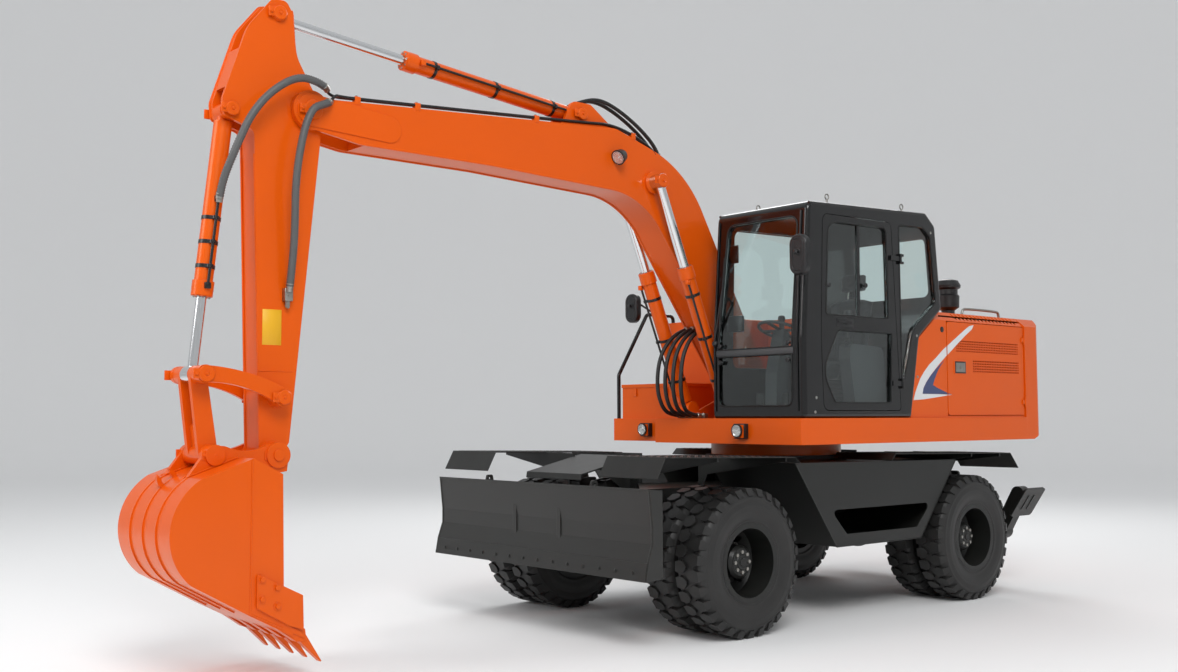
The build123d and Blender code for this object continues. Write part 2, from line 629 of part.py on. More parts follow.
# Upper frame: the deck with its side skirts, the upper half of the slew ring and the boom brackets
deck_outline = (
    (deck_front_x, deck_half_width), (deck_rear_x, deck_half_width), (deck_rear_x, -deck_half_width),
    (deck_right_front_x, -deck_half_width), (deck_right_front_x, -360), (deck_front_x, -320),
)
boom_bracket_y = (boom_half_width + seat_gap, 175)
boom_cylinder_ear_y = (boom_cylinder_y + 50, boom_cylinder_y + 64)
with BuildPart() as upper_frame:
    with BuildSketch(level(deck_bottom_z)) as deck:
        Polygon(*deck_outline, align=None)
    extrude(deck.sketch, amount=deck_top_z - deck_bottom_z)
    with BuildSketch(level(deck_bottom_z + deck_wall)) as inside:
        Polygon(*deck_outline, align=None)
        offset(amount=-deck_wall)
    extrude(inside.sketch, amount=deck_top_z - deck_bottom_z - 2 * deck_wall, mode=Mode.SUBTRACT)
    round_z((0, 0), 560, ring_top_z + seat_gap, deck_bottom_z)
    round_z((0, 0), ring_bore_radius, ring_top_z, deck_bottom_z, Mode.SUBTRACT)
    for side, sign in sides:
        bracket = ((-330, 1540), (180, 1850), (330, 1880), (450, 1850), (520, 1720), (800, 1610), (800, 1540))
        ear = ((775, 1540), (930, 1540), (918, 1610), (802, 1650))
        inner_plate = sorted((sign * boom_bracket_y[0], sign * boom_bracket_y[1]))
        outer_plate = sorted((sign * boom_cylinder_ear_y[0], sign * boom_cylinder_ear_y[1]))
        plate_y(bracket, *inner_plate)
        for plate in (inner_plate, outer_plate):
            plate_y(ear, *plate)
            round_y(boom_cylinder_base, 60, *plate)
        round_y(boom_cylinder_base, 32, *sorted((sign * boom_bracket_y[0], sign * boom_cylinder_ear_y[1])))
    round_y(boom_foot, 45, -215, 215)
    for lamp_x, lamp_y in ((deck_front_x, 660), (deck_right_front_x, -800)):
        block((lamp_x - 10, lamp_y - 50, 1395), (lamp_x + 55, lamp_y + 50, 1495))
upper_frame.part.label = "upper_frame"
export_step(upper_frame.part, "parts/upper_frame.step")

# Counterweight: one casting, thick below and a shell above
hood_top_z = 2440
counterweight_half_width = deck_half_width - 11
counterweight_side_x = -2190
counterweight_corner_x = -2300
counterweight_rear_x = -2420
with BuildPart() as counterweight:
    with BuildSketch(level(deck_bottom_z)) as plan:
        with BuildLine():
            edge, shoulder = counterweight_half_width, counterweight_half_width - 135
            Line((deck_rear_x, -edge), (counterweight_side_x, -edge))
            ThreePointArc((counterweight_side_x, -edge), (-2265, -edge + 42), (counterweight_corner_x, -shoulder))
            ThreePointArc(
                (counterweight_corner_x, -shoulder), (counterweight_rear_x, 0), (counterweight_corner_x, shoulder)
            )
            ThreePointArc((counterweight_corner_x, shoulder), (-2265, edge - 42), (counterweight_side_x, edge))
            Line((counterweight_side_x, edge), (deck_rear_x, edge))
            Line((deck_rear_x, edge), (deck_rear_x, -edge))
        make_face()
    extrude(plan.sketch, amount=hood_top_z - deck_bottom_z)
    # The rear leans in above and is undercut below, and the top corners slope as the hood's do
    plate_y(
        ((counterweight_rear_x - 100, 1700), (counterweight_rear_x, 1700), (-2350, hood_top_z),
         (-2350, hood_top_z + 50), (counterweight_rear_x - 100, hood_top_z + 50)),
        -edge - 10, edge + 10, Mode.SUBTRACT,
    )
    plate_y(
        ((counterweight_rear_x - 50, 1480), (-2130, deck_bottom_z), (-2130, deck_bottom_z - 50),
         (counterweight_rear_x - 50, deck_bottom_z - 50)),
        -edge - 10, edge + 10, Mode.SUBTRACT,
    )
    for side, sign in sides:
        plate_x(
            ((sign * edge, 2365), (sign * (edge - 90), hood_top_z), (sign * (edge + 40), hood_top_z + 40)),
            -2500, deck_rear_x + 10, Mode.SUBTRACT,
        )
    block((-2250, 85 - edge, 1820), (deck_rear_x, edge - 85, 2340), Mode.SUBTRACT)
counterweight.part.label = "counterweight"
export_step(counterweight.part, "parts/counterweight.step")

# Engine hood: the fixed panels round the engine bay, with an opening for a door on each side
hood_wall = 30
hood_y = deck_half_width - 26
door_low_x, door_high_x = -1990, -790
door_low_z, door_high_z = 1560, 2360
top_slot_count = 17
top_slot_pitch = 58
top_slot_start_x = -1890
hood_hinge = (-1991, hood_y + 14)
hood_hinge_heights = (1680, 2240)
with BuildPart() as engine_hood:
    def hood_shape(inset, mode):
        behind_cab = ((-262 - inset, 1545), (-392 - inset, 2200), (-712 - inset, hood_top_z - inset),
                      (deck_rear_x, hood_top_z - inset), (deck_rear_x, 1545))
        plate_y(behind_cab, 250 + inset, hood_y - inset, mode)
        block((deck_rear_x, -hood_y + inset, 1545), (-370 - inset, 260 + inset, hood_top_z - inset), mode)
    hood_shape(0, Mode.ADD)
    hood_shape(hood_wall, Mode.SUBTRACT)
    for side, sign in sides:
        chamfer_strip = ((sign * hood_y, 2365), (sign * (hood_y - 75), hood_top_z), (sign * (hood_y + 40), hood_top_z + 40))
        plate_x(chamfer_strip, deck_rear_x, -200, Mode.SUBTRACT)
        block(
            (door_low_x, min(sign * (hood_y - 70), sign * (hood_y + 40)), door_low_z),
            (door_high_x, max(sign * (hood_y - 70), sign * (hood_y + 40)), door_high_z), Mode.SUBTRACT,
        )
        # Air slots along the sloped edge of the top
        for slot in range(top_slot_count):
            slot_x = top_slot_start_x + slot * top_slot_pitch
            with BuildSketch(level(2340)) as air_slot:
                with Locations(Location((slot_x, sign * (hood_y - 42), 0), (0, 0, sign * 25))):
                    RectangleRounded(26, 62, 8)
            extrude(air_slot.sketch, amount=120, mode=Mode.SUBTRACT)
    for side, sign in sides:
        fixed_hinge((hood_hinge[0], sign * hood_hinge[1]), 8, hood_hinge_heights, deck_rear_x, sign * (hood_y - 5))
engine_hood.part.label = "engine_hood"
export_step(engine_hood.part, "parts/engine_hood.step")

# Engine doors with their grilles, hinged at the rear edge
door_gap = 5
grilles = (
    # low X, high X, low Z, high Z
    (-1900, -920, 2105, 2210),
    (-1910, -1170, 1935, 2045),
)
for side, sign in sides:
    with BuildPart() as engine_door:
        low_x, high_x = door_low_x + door_gap, door_high_x - door_gap
        low_z, high_z = door_low_z + door_gap, door_high_z - door_gap
        plate_y(
            ((low_x, low_z, 12), (high_x, low_z, 30), (high_x, high_z, 30), (low_x, high_z, 12)),
            *sorted((sign * (hood_y - 30), sign * (hood_y + 4))),
        )
        # The latch plate near the front edge
        plate_y(
            ((-1070, 1912, 14), (-885, 1912, 14), (-885, 2030, 14), (-1070, 2030, 14)),
            *sorted((sign * (hood_y + 3), sign * (hood_y + 9))),
        )
        for low_x, high_x, low_z, high_z in grilles:
            for slot in range(5):
                pitch = (high_z - low_z) / 5
                slot_z = low_z + slot * pitch
                block((low_x, min(sign * (hood_y - 40), sign * (hood_y + 20)), slot_z),
                      (high_x, max(sign * (hood_y - 40), sign * (hood_y + 20)), slot_z + 0.55 * pitch), Mode.SUBTRACT)
        moving_hinge((hood_hinge[0], sign * hood_hinge[1]), 8, hood_hinge_heights, -1950, sign * (hood_y + 2))
    engine_door.part.label = f"engine_door_{side}"
    export_step(engine_door.part, f"parts/engine_door_{side}.step")

with BuildPart() as engine_block:
    block((-1880, -450, 1545), (-1000, 450, 2240))
engine_block.part.label = "engine_block"
export_step(engine_block.part, "parts/engine_block.step")

# Fuel and hydraulic tanks, on the right behind the tool box
tank_rear_x, tank_front_x = -370, 130
with BuildPart() as tanks:
    block((tank_rear_x, 10 - deck_half_width, deck_top_z), (tank_front_x, -400, 2440))
    fillet(tanks.edges().filter_by(Axis.X).group_by(Axis.Z)[-1], 12)
tanks.part.label = "tanks"
export_step(tanks.part, "parts/tanks.step")

# Tool box in front of the tanks, with a lid that lifts
with BuildPart() as tool_box:
    block((tank_front_x, -1160, deck_top_z), (750, -420, 1820))
    block((tank_front_x + 20, -1140, deck_top_z + 20), (730, -440, 1820), Mode.SUBTRACT)
    for latch_y in (-990, -590):
        plate_x(
            ((latch_y - 24, 1742, 8), (latch_y + 24, 1742, 8), (latch_y + 24, 1812, 8), (latch_y - 24, 1812, 8)),
            745, 762,
        )
tool_box.part.label = "tool_box"
export_step(tool_box.part, "parts/tool_box.step")
with BuildPart() as tool_box_lid:
    block((tank_front_x + 12, -1166, 1820 + seat_gap), (758, -414, 1850))
    round_y((tank_front_x + 12, 1853.5), 6, -1100, -480)
tool_box_lid.part.label = "tool_box_lid"
export_step(tool_box_lid.part, "parts/tool_box_lid.step")

# Air pre-cleaner on the hood: a neck, a bowl and a wide cap, all turned
precleaner_place = (-1990, 450)
precleaner_top = 2862
with BuildPart() as precleaner:
    with BuildSketch(across(precleaner_place[1])) as half_section:
        # radius, Z
        turned = (
            (0, hood_top_z), (62, hood_top_z), (62, 2560), (104, 2590), (108, 2700), (92, 2716), (92, 2760),
            (118, 2776), (122, 2800), (96, 2846), (40, precleaner_top), (0, precleaner_top),
        )
        Polygon(*[(precleaner_place[0] + radius, z) for radius, z in turned], align=None)
    revolve(half_section.sketch, axis=Axis((slew_x + precleaner_place[0], precleaner_place[1], 0), (0, 0, 1)))
precleaner.part.label = "precleaner"
export_step(precleaner.part, "parts/precleaner.step")

# Handrail on the right, over the tool box and the tanks
with BuildPart() as handrails:
    with BuildLine(across(-1205)) as rail_line:
        FilletPolyline((755, deck_top_z), (755, 1940), (400, 2510), (60, 2510), (60, 2440), radius=45)
    with BuildSketch(Plane(origin=rail_line.line @ 0, z_dir=rail_line.line % 0)) as rail_section:
        Circle(17)
    sweep(rail_section.sketch, path=rail_line.line)
handrails.part.label = "handrails"
export_step(handrails.part, "parts/handrails.step")

# Mirrors: a tall one on an arm from the cab's left pillar and one on the rail
cab_high_y = deck_half_width
mirror_shell = 52
mirrors_at = (
    # X, Y and Z of the shell's middle, width, height, where its arm starts
    (1284, 1352, 2745, 165, 300, (1037, cab_high_y - 8, 2890)),
    (545, -1270, 2566, 170, 270, (330, -1205, 2535)),
)
with BuildPart() as mirrors:
    for x, y, z, width, height, arm_start in mirrors_at:
        with BuildSketch(facing(x - mirror_shell)) as shell:
            with Locations((y, z)):
                RectangleRounded(width, height, 0.45 * width)
        extrude(shell.sketch, amount=mirror_shell)
        fillet(mirrors.faces().sort_by_distance((slew_x + x, y, z))[0].edges(), 18)
        start = Vector(slew_x + arm_start[0], arm_start[1], arm_start[2])
        finish = Vector(slew_x + x - 0.6 * mirror_shell, y, z + 0.3 * height)
        arm_plane = Plane(origin=start, z_dir=finish - start)
        round_along(arm_plane, 9, 0, (finish - start).length)
mirrors.part.label = "mirrors"
export_step(mirrors.part, "parts/mirrors.step")

# Cab
cab_low_y = 300
# X, Z and the radius of each corner
cab_outline = (
    (1098, deck_top_z, 20), (1098, 2150, 400), (1022, 3190, 70), (-504, 3250, 50), (-631, 3150, 60),
    (-702, 2446, 60), (-382, 2209, 90), (-250, deck_top_z, 20),
)
cab_wall = 45
cab_edge_radius = 34
cab_hinge = (-105, cab_high_y + 16)
cab_hinge_heights = (1820, 2830)
quarter_window = (
    (-109, 3110, 40), (-440, 3124, 70), (-545, 3050, 60), (-610, 2500, 70), (-285, 2270, 110), (-160, 1860, 16),
    (-118, 1860, 10),
)
right_window = ((900, 1950, 60), (860, 3080, 80), (-10, 3100, 80), (-80, 2300, 120), (100, 1950, 60))
# Y, Z and the radius of each corner
windscreen_panes = (
    ((370, 1640, 60), (1128, 1640, 60), (1128, 2030, 12), (370, 2030, 12)),
    ((370, 2085, 12), (1128, 2085, 12), (1150, 3085, 90), (430, 3085, 90)),
)
rear_pane = ((400, 2560, 60), (1150, 2560, 60), (1150, 3060, 60), (400, 3060, 60))
door_outline = ((870, 1606, 60), (890, 2150, 300), (854, 3104, 60), (-2, 3114, 50), (-94, 1606, 30))
with BuildPart() as cab_shell:
    plate_y(cab_outline, cab_low_y, cab_high_y)
    for end in (0, -1):
        rim = cab_shell.faces().sort_by(Axis.Y)[end].edges()
        fillet(rim.filter_by(lambda e: e.center().Z > deck_top_z + 60), cab_edge_radius)
    with BuildSketch(across(cab_high_y - cab_wall)) as cab_inside:
        draw(cab_inside, [point[:2] for point in cab_outline])
        offset(amount=-cab_wall)
    extrude(cab_inside.sketch, amount=cab_high_y - cab_low_y - 2 * cab_wall, mode=Mode.SUBTRACT)
    # Left side: the door opening and the rear quarter window
    with BuildSketch(across(cab_high_y + 10)) as door_opening:
        draw(door_opening, door_outline)
        offset(amount=6)
    extrude(door_opening.sketch, amount=70, mode=Mode.SUBTRACT)
    plate_y(quarter_window, cab_high_y - 60, cab_high_y + 10, Mode.SUBTRACT)
    plate_y(right_window, cab_low_y - 10, cab_low_y + 60, Mode.SUBTRACT)
    for pane in windscreen_panes:
        plate_x(pane, 900, 1150, Mode.SUBTRACT)
    plate_x(rear_pane, -760, -560, Mode.SUBTRACT)
    # The hatch in the roof
    hatch = ((660, 3190), (640, 3232, 10), (-120, 3262, 10), (-140, 3210))
    plate_y(hatch, 480, 1070)
    fixed_hinge(cab_hinge, 11, cab_hinge_heights, -150, cab_high_y - 5)
cab_shell.part.label = "cab_shell"
export_step(cab_shell.part, "parts/cab_shell.step")

# Cab door, with its windows cut, hinged at its rear edge
door_panes = (
    ((832, 2335, 30), (790, 3052, 120), (60, 3070, 60), (42, 2335, 30)),
    ((690, 2220, 40), (885, 1900, 260), (735, 1664, 50), (30, 1664, 20), (6, 2222, 20)),
)
with BuildPart() as cab_door:
    plate_y(door_outline, cab_high_y - 40, cab_high_y)
    for pane in door_panes:
        plate_y(pane, cab_high_y - 50, cab_high_y + 10, Mode.SUBTRACT)
    # The bar that the upper panes slide against
    plate_y(((398, 2320), (432, 2320), (425, 3075), (391, 3075)), cab_high_y - 32, cab_high_y - 10)
    moving_hinge(cab_hinge, 11, cab_hinge_heights, 20, cab_high_y + 6)
    for z in cab_hinge_heights:
        block((-12, cab_high_y - 5, z - 20), (20, cab_hinge[1], z + 20))
cab_door.part.label = "cab_door"
export_step(cab_door.part, "parts/cab_door.step")
glass_thickness = 6
with BuildPart() as cab_door_glass:
    for pane in door_panes:
        plate_y(pane, cab_high_y - 24, cab_high_y - 24 + glass_thickness)
    plate_y(((398, 2320), (432, 2320), (425, 3075), (391, 3075)), cab_high_y - 32, cab_high_y - 10, Mode.SUBTRACT)
cab_door_glass.part.label = "cab_door_glass"
export_step(cab_door_glass.part, "parts/cab_door_glass.step")

# The fixed glass: each pane lies in its opening, set in from the outside
glass_inset = 18
front_strip = ((1098, 1600), (1098, 2150), (1022, 3190))
rear_strip = ((-631, 3150), (-702, 2446))
with BuildPart() as front_glass:
    for pane in windscreen_panes:
        plate_x(pane, 900, 1150)
    outside = [(x - glass_inset, z) for x, z in front_strip]
    inside = [(x - glass_thickness, z) for x, z in reversed(outside)]
    plate_y((*outside, *inside), cab_low_y, cab_high_y, Mode.INTERSECT)
with BuildPart() as rear_glass:
    plate_x(rear_pane, -760, -560)
    outside = [(x + glass_inset, z) for x, z in rear_strip]
    inside = [(x + glass_thickness, z) for x, z in reversed(outside)]
    plate_y((*outside, *inside), cab_low_y, cab_high_y, Mode.INTERSECT)
with BuildPart() as cab_glass:
    plate_y(quarter_window, cab_high_y - 24, cab_high_y - 24 + glass_thickness)
    plate_y(right_window, cab_low_y + 18, cab_low_y + 18 + glass_thickness)
    add(front_glass.part)
    add(rear_glass.part)
cab_glass.part.label = "cab_glass"
export_step(cab_glass.part, "parts/cab_glass.step")

# Seat: a cushion, a back and a head rest over its pedestal
seat_y = 770
with BuildPart() as operator_seat:
    plate_y(((-60, 1850, 40), (440, 1850, 50), (450, 1960, 50), (380, 2005, 60), (-60, 1980, 30)), seat_y - 235, seat_y + 235)
    plate_y(((-160, 2560, 36), (-40, 1950, 20), (40, 1965, 20), (10, 2150, 150), (-60, 2580, 30)), seat_y - 225, seat_y + 225)
    plate_y(((-170, 2760, 26), (-160, 2530, 24), (-80, 2540, 24), (-90, 2760, 26)), seat_y - 130, seat_y + 130)
    plate_y(((40, 1590), (360, 1590), (320, 1860), (60, 1860)), seat_y - 130, seat_y + 130)
operator_seat.part.label = "operator_seat"
export_step(operator_seat.part, "parts/operator_seat.step")

# Controls: the steering column with its wheel, and a console with a lever beside each arm of the seat
steering_wheel_centre = (800, 2235)
with BuildPart() as cab_controls:
    plate_y(((840, 1590), (930, 1590), (920, 1900, 60), (825, 2240), (765, 2218)), seat_y - 60, seat_y + 60)
    wheel_plane = Plane(
        origin=(slew_x + steering_wheel_centre[0], seat_y, steering_wheel_centre[1]), z_dir=(-0.35, 0, 0.94)
    )
    with Locations(wheel_plane):
        Torus(178, 13)
        Box(340, 34, 12)
        Box(34, 340, 12)
    for console_y in (430, 1110):
        plate_y(
            ((-20, 1590), (380, 1590), (450, 2010, 50), (440, 2130, 40), (20, 2110, 60)), console_y - 55, console_y + 55
        )
        round_z((395, console_y), 9, 2100, 2290)
        round_z((395, console_y), 22, 2290, 2380)
cab_controls.part.label = "cab_controls"
export_step(cab_controls.part, "parts/cab_controls.step")

# Boom: a box of two side plates with a top and a bottom plate set in from their edges
boom_outline = (
    # X, Z and the radius of each corner
    (4640, 3598, 20), (1985, 3789, 220), (1228, 3561, 950), (232, 1834, 60), (215, 1690, 70), (400, 1635, 70),
    (505, 1690, 60), (1695, 3292, 700), (3167, 3344, 600), (4224, 3347, 300), (4560, 3400, 20),
)
plate_overhang = 7
fork_start_x = 4180
with BuildPart() as boom:
    for side, sign in sides:
        plate_y(boom_outline, *sorted((sign * (boom_half_width - boom_plate), sign * boom_half_width)))
    for inset, mode in ((plate_overhang, Mode.ADD), (plate_overhang + boom_plate, Mode.SUBTRACT)):
        with BuildSketch(across(boom_half_width - boom_plate)) as between_plates:
            draw(between_plates, boom_outline)
            offset(amount=-inset)
            if mode == Mode.SUBTRACT:
                with Locations((4700, 3500)):
                    Rectangle(2 * (4700 - fork_start_x + 30), 800, mode=Mode.SUBTRACT)
        extrude(between_plates.sketch, amount=2 * (boom_half_width - boom_plate), mode=mode)
    round_y(arm_pivot, 128, -boom_half_width, boom_half_width)
    slot_half = arm_half_width + 5
    block((fork_start_x, -slot_half, 3000), (5000, slot_half, 4000), Mode.SUBTRACT)
    round_y(arm_pivot, 45, -boom_half_width - 20, boom_half_width + 20)
    # Foot bosses, cylinder pins and the ears for the arm's cylinder
    round_y(boom_foot, 100, -boom_half_width, boom_half_width)
    round_y(boom_foot, 45 + pin_fit, -boom_half_width - 5, boom_half_width + 5, Mode.SUBTRACT)
    for side, sign in sides:
        round_y(boom_cylinder_top, 90, *sorted((sign * (boom_half_width - 5), sign * (boom_cylinder_y - 50 - seat_gap))))
        ear = ((1880, 3748), (2190, 3955, 70), (2375, 3955, 70), (2480, 3735), (2100, 3600))
        plate_y(ear, *sorted((sign * 60, sign * 90)))
        # Doublers on the fork and round the cylinders' pin
        outer = sorted((sign * (boom_half_width - 1), sign * (boom_half_width + 8)))
        link_y(arm_pivot, (4010, 3480), 105, *outer, end_radius=90)
    round_y(arm_cylinder_base, 32, -110, 110)
boom.part.label = "boom"
export_step(boom.part, "parts/boom.step")

boom_cylinder = {
    "barrel_length": 1215, "barrel_radius": 58, "rod_radius": 38, "eye_radius": 58, "wall": 10, "gland": 70,
    "piston_at": 800, "piston": 50,
}
with BuildPart() as boom_cylinder_barrels:
    for side, sign in sides:
        y = sign * boom_cylinder_y
        barrel(toward(boom_cylinder_base, boom_cylinder_top, y), boom_cylinder)
        round_y(boom_cylinder_base, 58, y - 49.7, y + 49.7)
        round_y(boom_cylinder_base, 32 + pin_fit, y - 60, y + 60, Mode.SUBTRACT)
boom_cylinder_barrels.part.label = "boom_cylinder_barrels"
export_step(boom_cylinder_barrels.part, "parts/boom_cylinder_barrels.step")
with BuildPart() as boom_cylinder_rods:
    for side, sign in sides:
        y = sign * boom_cylinder_y
        rod(toward(boom_cylinder_base, boom_cylinder_top, y), boom_cylinder, distance(boom_cylinder_base, boom_cylinder_top))
        round_y(boom_cylinder_top, 58, y - 50, y + 50)
boom_cylinder_rods.part.label = "boom_cylinder_rods"
export_step(boom_cylinder_rods.part, "parts/boom_cylinder_rods.step")

# Arm: a tapering box, wide at its pivot, with ears for its cylinder and for the bucket's
arm_outline = (
    # X, Z and the radius of each corner
    (4702, 4140, 70), (4742, 4206, 45), (4838, 4206, 45), (5004, 3995, 260), (5160, 3520, 70), (5152, 3412, 40),
    (4950, 3350, 60), (4890, 1340), (4732, 1340), (4690, 1410), (4496, 3330, 400), (4492, 3560, 240),
    (4668, 3860, 240),
)
with BuildPart() as arm:
    for side, sign in sides:
        plate_y(arm_outline, *sorted((sign * (arm_half_width - arm_plate), sign * arm_half_width)))
    for inset, mode in ((plate_overhang, Mode.ADD), (plate_overhang + arm_plate, Mode.SUBTRACT)):
        with BuildSketch(across(arm_half_width - arm_plate)) as between_plates:
            draw(between_plates, arm_outline)
            offset(amount=-inset)
            if mode == Mode.SUBTRACT:
                with Locations((4900, 4100)):
                    Rectangle(800, 2 * 260, mode=Mode.SUBTRACT)
                with Locations((5150, 3450)):
                    Rectangle(2 * 200, 400, mode=Mode.SUBTRACT)
                with Locations(arm_pivot):
                    Circle(120, mode=Mode.SUBTRACT)
                with Locations(guide_pivot):
                    Circle(60, mode=Mode.SUBTRACT)
        extrude(between_plates.sketch, amount=2 * (arm_half_width - arm_plate), mode=mode)
    # The slots for the rod of its cylinder and for the base of the bucket's cylinder
    block((4500, -60, 3860), (5200, 60, 4300), Mode.SUBTRACT)
    block((4965, -60, 3200), (5300, 60, 3600), Mode.SUBTRACT)
    round_y(arm_pivot, 118, -arm_half_width - 4.7, arm_half_width + 4.7)
    round_y(arm_pivot, 45 + pin_fit, -130, 130, Mode.SUBTRACT)
    round_y(bucket_pivot, 82, -154.7, 154.7)
    round_y(bucket_pivot, 35 + pin_fit, -160, 160, Mode.SUBTRACT)
    round_y(guide_pivot, 62, -170, 170)
    round_y(guide_pivot, 32, -216, 216)
    round_y(bucket_cylinder_base, 32, -125, 125)
    for side, sign in sides:
        round_y(arm_cylinder_top, 50, *sorted((sign * 55.3, sign * 125)))
arm.part.label = "arm"
export_step(arm.part, "parts/arm.step")

arm_cylinder = {
    "barrel_length": 1540, "barrel_radius": 60, "rod_radius": 36, "eye_radius": 56, "wall": 10, "gland": 70,
    "piston_at": 1100, "piston": 50,
}
with BuildPart() as arm_cylinder_barrel:
    barrel(toward(arm_cylinder_base, arm_cylinder_top, 0), arm_cylinder)
    round_y(arm_cylinder_base, 56, -59.7, 59.7)
    round_y(arm_cylinder_base, 32 + pin_fit, -65, 65, Mode.SUBTRACT)
arm_cylinder_barrel.part.label = "arm_cylinder_barrel"
export_step(arm_cylinder_barrel.part, "parts/arm_cylinder_barrel.step")
with BuildPart() as arm_cylinder_rod:
    rod(toward(arm_cylinder_base, arm_cylinder_top, 0), arm_cylinder, distance(arm_cylinder_base, arm_cylinder_top))
    round_y(arm_cylinder_top, 56, -55, 55)
arm_cylinder_rod.part.label = "arm_cylinder_rod"
export_step(arm_cylinder_rod.part, "parts/arm_cylinder_rod.step")

bucket_cylinder = {
    "barrel_length": 1165, "barrel_radius": 56, "rod_radius": 32, "eye_radius": 54, "wall": 10, "gland": 60,
    "piston_at": 436, "piston": 40,
}
with BuildPart() as bucket_cylinder_barrel:
    barrel(toward(bucket_cylinder_base, link_top, 0), bucket_cylinder)
    round_y(bucket_cylinder_base, 54, -59.7, 59.7)
    round_y(bucket_cylinder_base, 32 + pin_fit, -65, 65, Mode.SUBTRACT)
bucket_cylinder_barrel.part.label = "bucket_cylinder_barrel"
export_step(bucket_cylinder_barrel.part, "parts/bucket_cylinder_barrel.step")
with BuildPart() as bucket_cylinder_rod:
    rod(toward(bucket_cylinder_base, link_top, 0), bucket_cylinder, distance(bucket_cylinder_base, link_top))
    round_y(link_top, 54, -55, 55)
bucket_cylinder_rod.part.label = "bucket_cylinder_rod"
export_step(bucket_cylinder_rod.part, "parts/bucket_cylinder_rod.step")

# Guide links: two bowed plates. The bucket link: two plates joined by their end bosses and a web
guide_rise = 34
with BuildPart() as guide_links:
    for side, sign in sides:
        low, high = sorted((sign * (170 + seat_gap), sign * 205))
        span = distance(guide_pivot, link_top)
        along = ((link_top[0] - guide_pivot[0]) / span, (link_top[1] - guide_pivot[1]) / span)
        normal = (-along[1], along[0])

        def at_link(run, rise):
            """A point on the link: how far along from its pivot, and how far above the line of its pins."""
            return (guide_pivot[0] + run * along[0] + rise * normal[0], guide_pivot[1] + run * along[1] + rise * normal[1])

        with BuildSketch(across(high)) as bowed:
            with BuildLine():
                ThreePointArc(at_link(0, 58), at_link(span / 2, 46 + guide_rise), at_link(span, 52))
                Line(at_link(span, 52), at_link(span, -52))
                ThreePointArc(at_link(span, -52), at_link(span / 2, guide_rise - 46), at_link(0, -58))
                Line(at_link(0, -58), at_link(0, 58))
            make_face()
            with Locations(guide_pivot):
                Circle(60)
            with Locations(link_top):
                Circle(54)
        extrude(bowed.sketch, amount=high - low)
        round_y(guide_pivot, 32 + pin_fit, low, high, Mode.SUBTRACT)
        round_y(link_top, 40, *sorted((sign * 205, sign * 216)))
guide_links.part.label = "guide_links"
export_step(guide_links.part, "parts/guide_links.step")
with BuildPart() as bucket_link:
    for side, sign in sides:
        link_y(link_top, link_foot, 52, *sorted((sign * 60, sign * 95)), end_radius=60)
        round_y(link_top, 52, *sorted((sign * (55 + seat_gap), sign * 170)))
    round_y(link_foot, 60, -154.7, 154.7)
    middle = ((link_top[0] + 2 * link_foot[0]) / 3, (link_top[1] + 2 * link_foot[1]) / 3)
    link_y(middle, link_foot, 30, -62, 62)
bucket_link.part.label = "bucket_link"
export_step(bucket_link.part, "parts/bucket_link.step")

# Bucket: a bent shell between two side plates, with a lip, teeth on adapters, side cutters and two ears
tooth_count = 5
bucket_shell = 18
wear_strip_places = (-200, 0, 200)
wear_strip_width = 14
wear_strip_height = 8
ear_y = (155, 190)
lifting_hook = (5425, 1205)


def bucket_profile(inset):
    """The outline of the bucket from the side, this far inside its plates."""
    with BuildLine() as loop:
        Polyline((4795 + inset, 262 + inset), (4862 + inset, 560), (4875 + inset, 1228 - inset))
        Line((4875 + inset, 1228 - inset), (5060, 1326 - inset))
        Line((5060, 1326 - inset), (5380 - 0.3 * inset, 1215 - inset))
        ThreePointArc(
            (5380 - 0.3 * inset, 1215 - inset), (5560 - inset, 925), (5430 - 0.6 * inset, 615 + 0.8 * inset)
        )
        Line((5430 - 0.6 * inset, 615 + 0.8 * inset), (5080 - 0.4 * inset, 415 + 0.9 * inset))
        Line((5080 - 0.4 * inset, 415 + 0.9 * inset), (4795 + inset, 262 + inset))
    make_face(loop.edges())


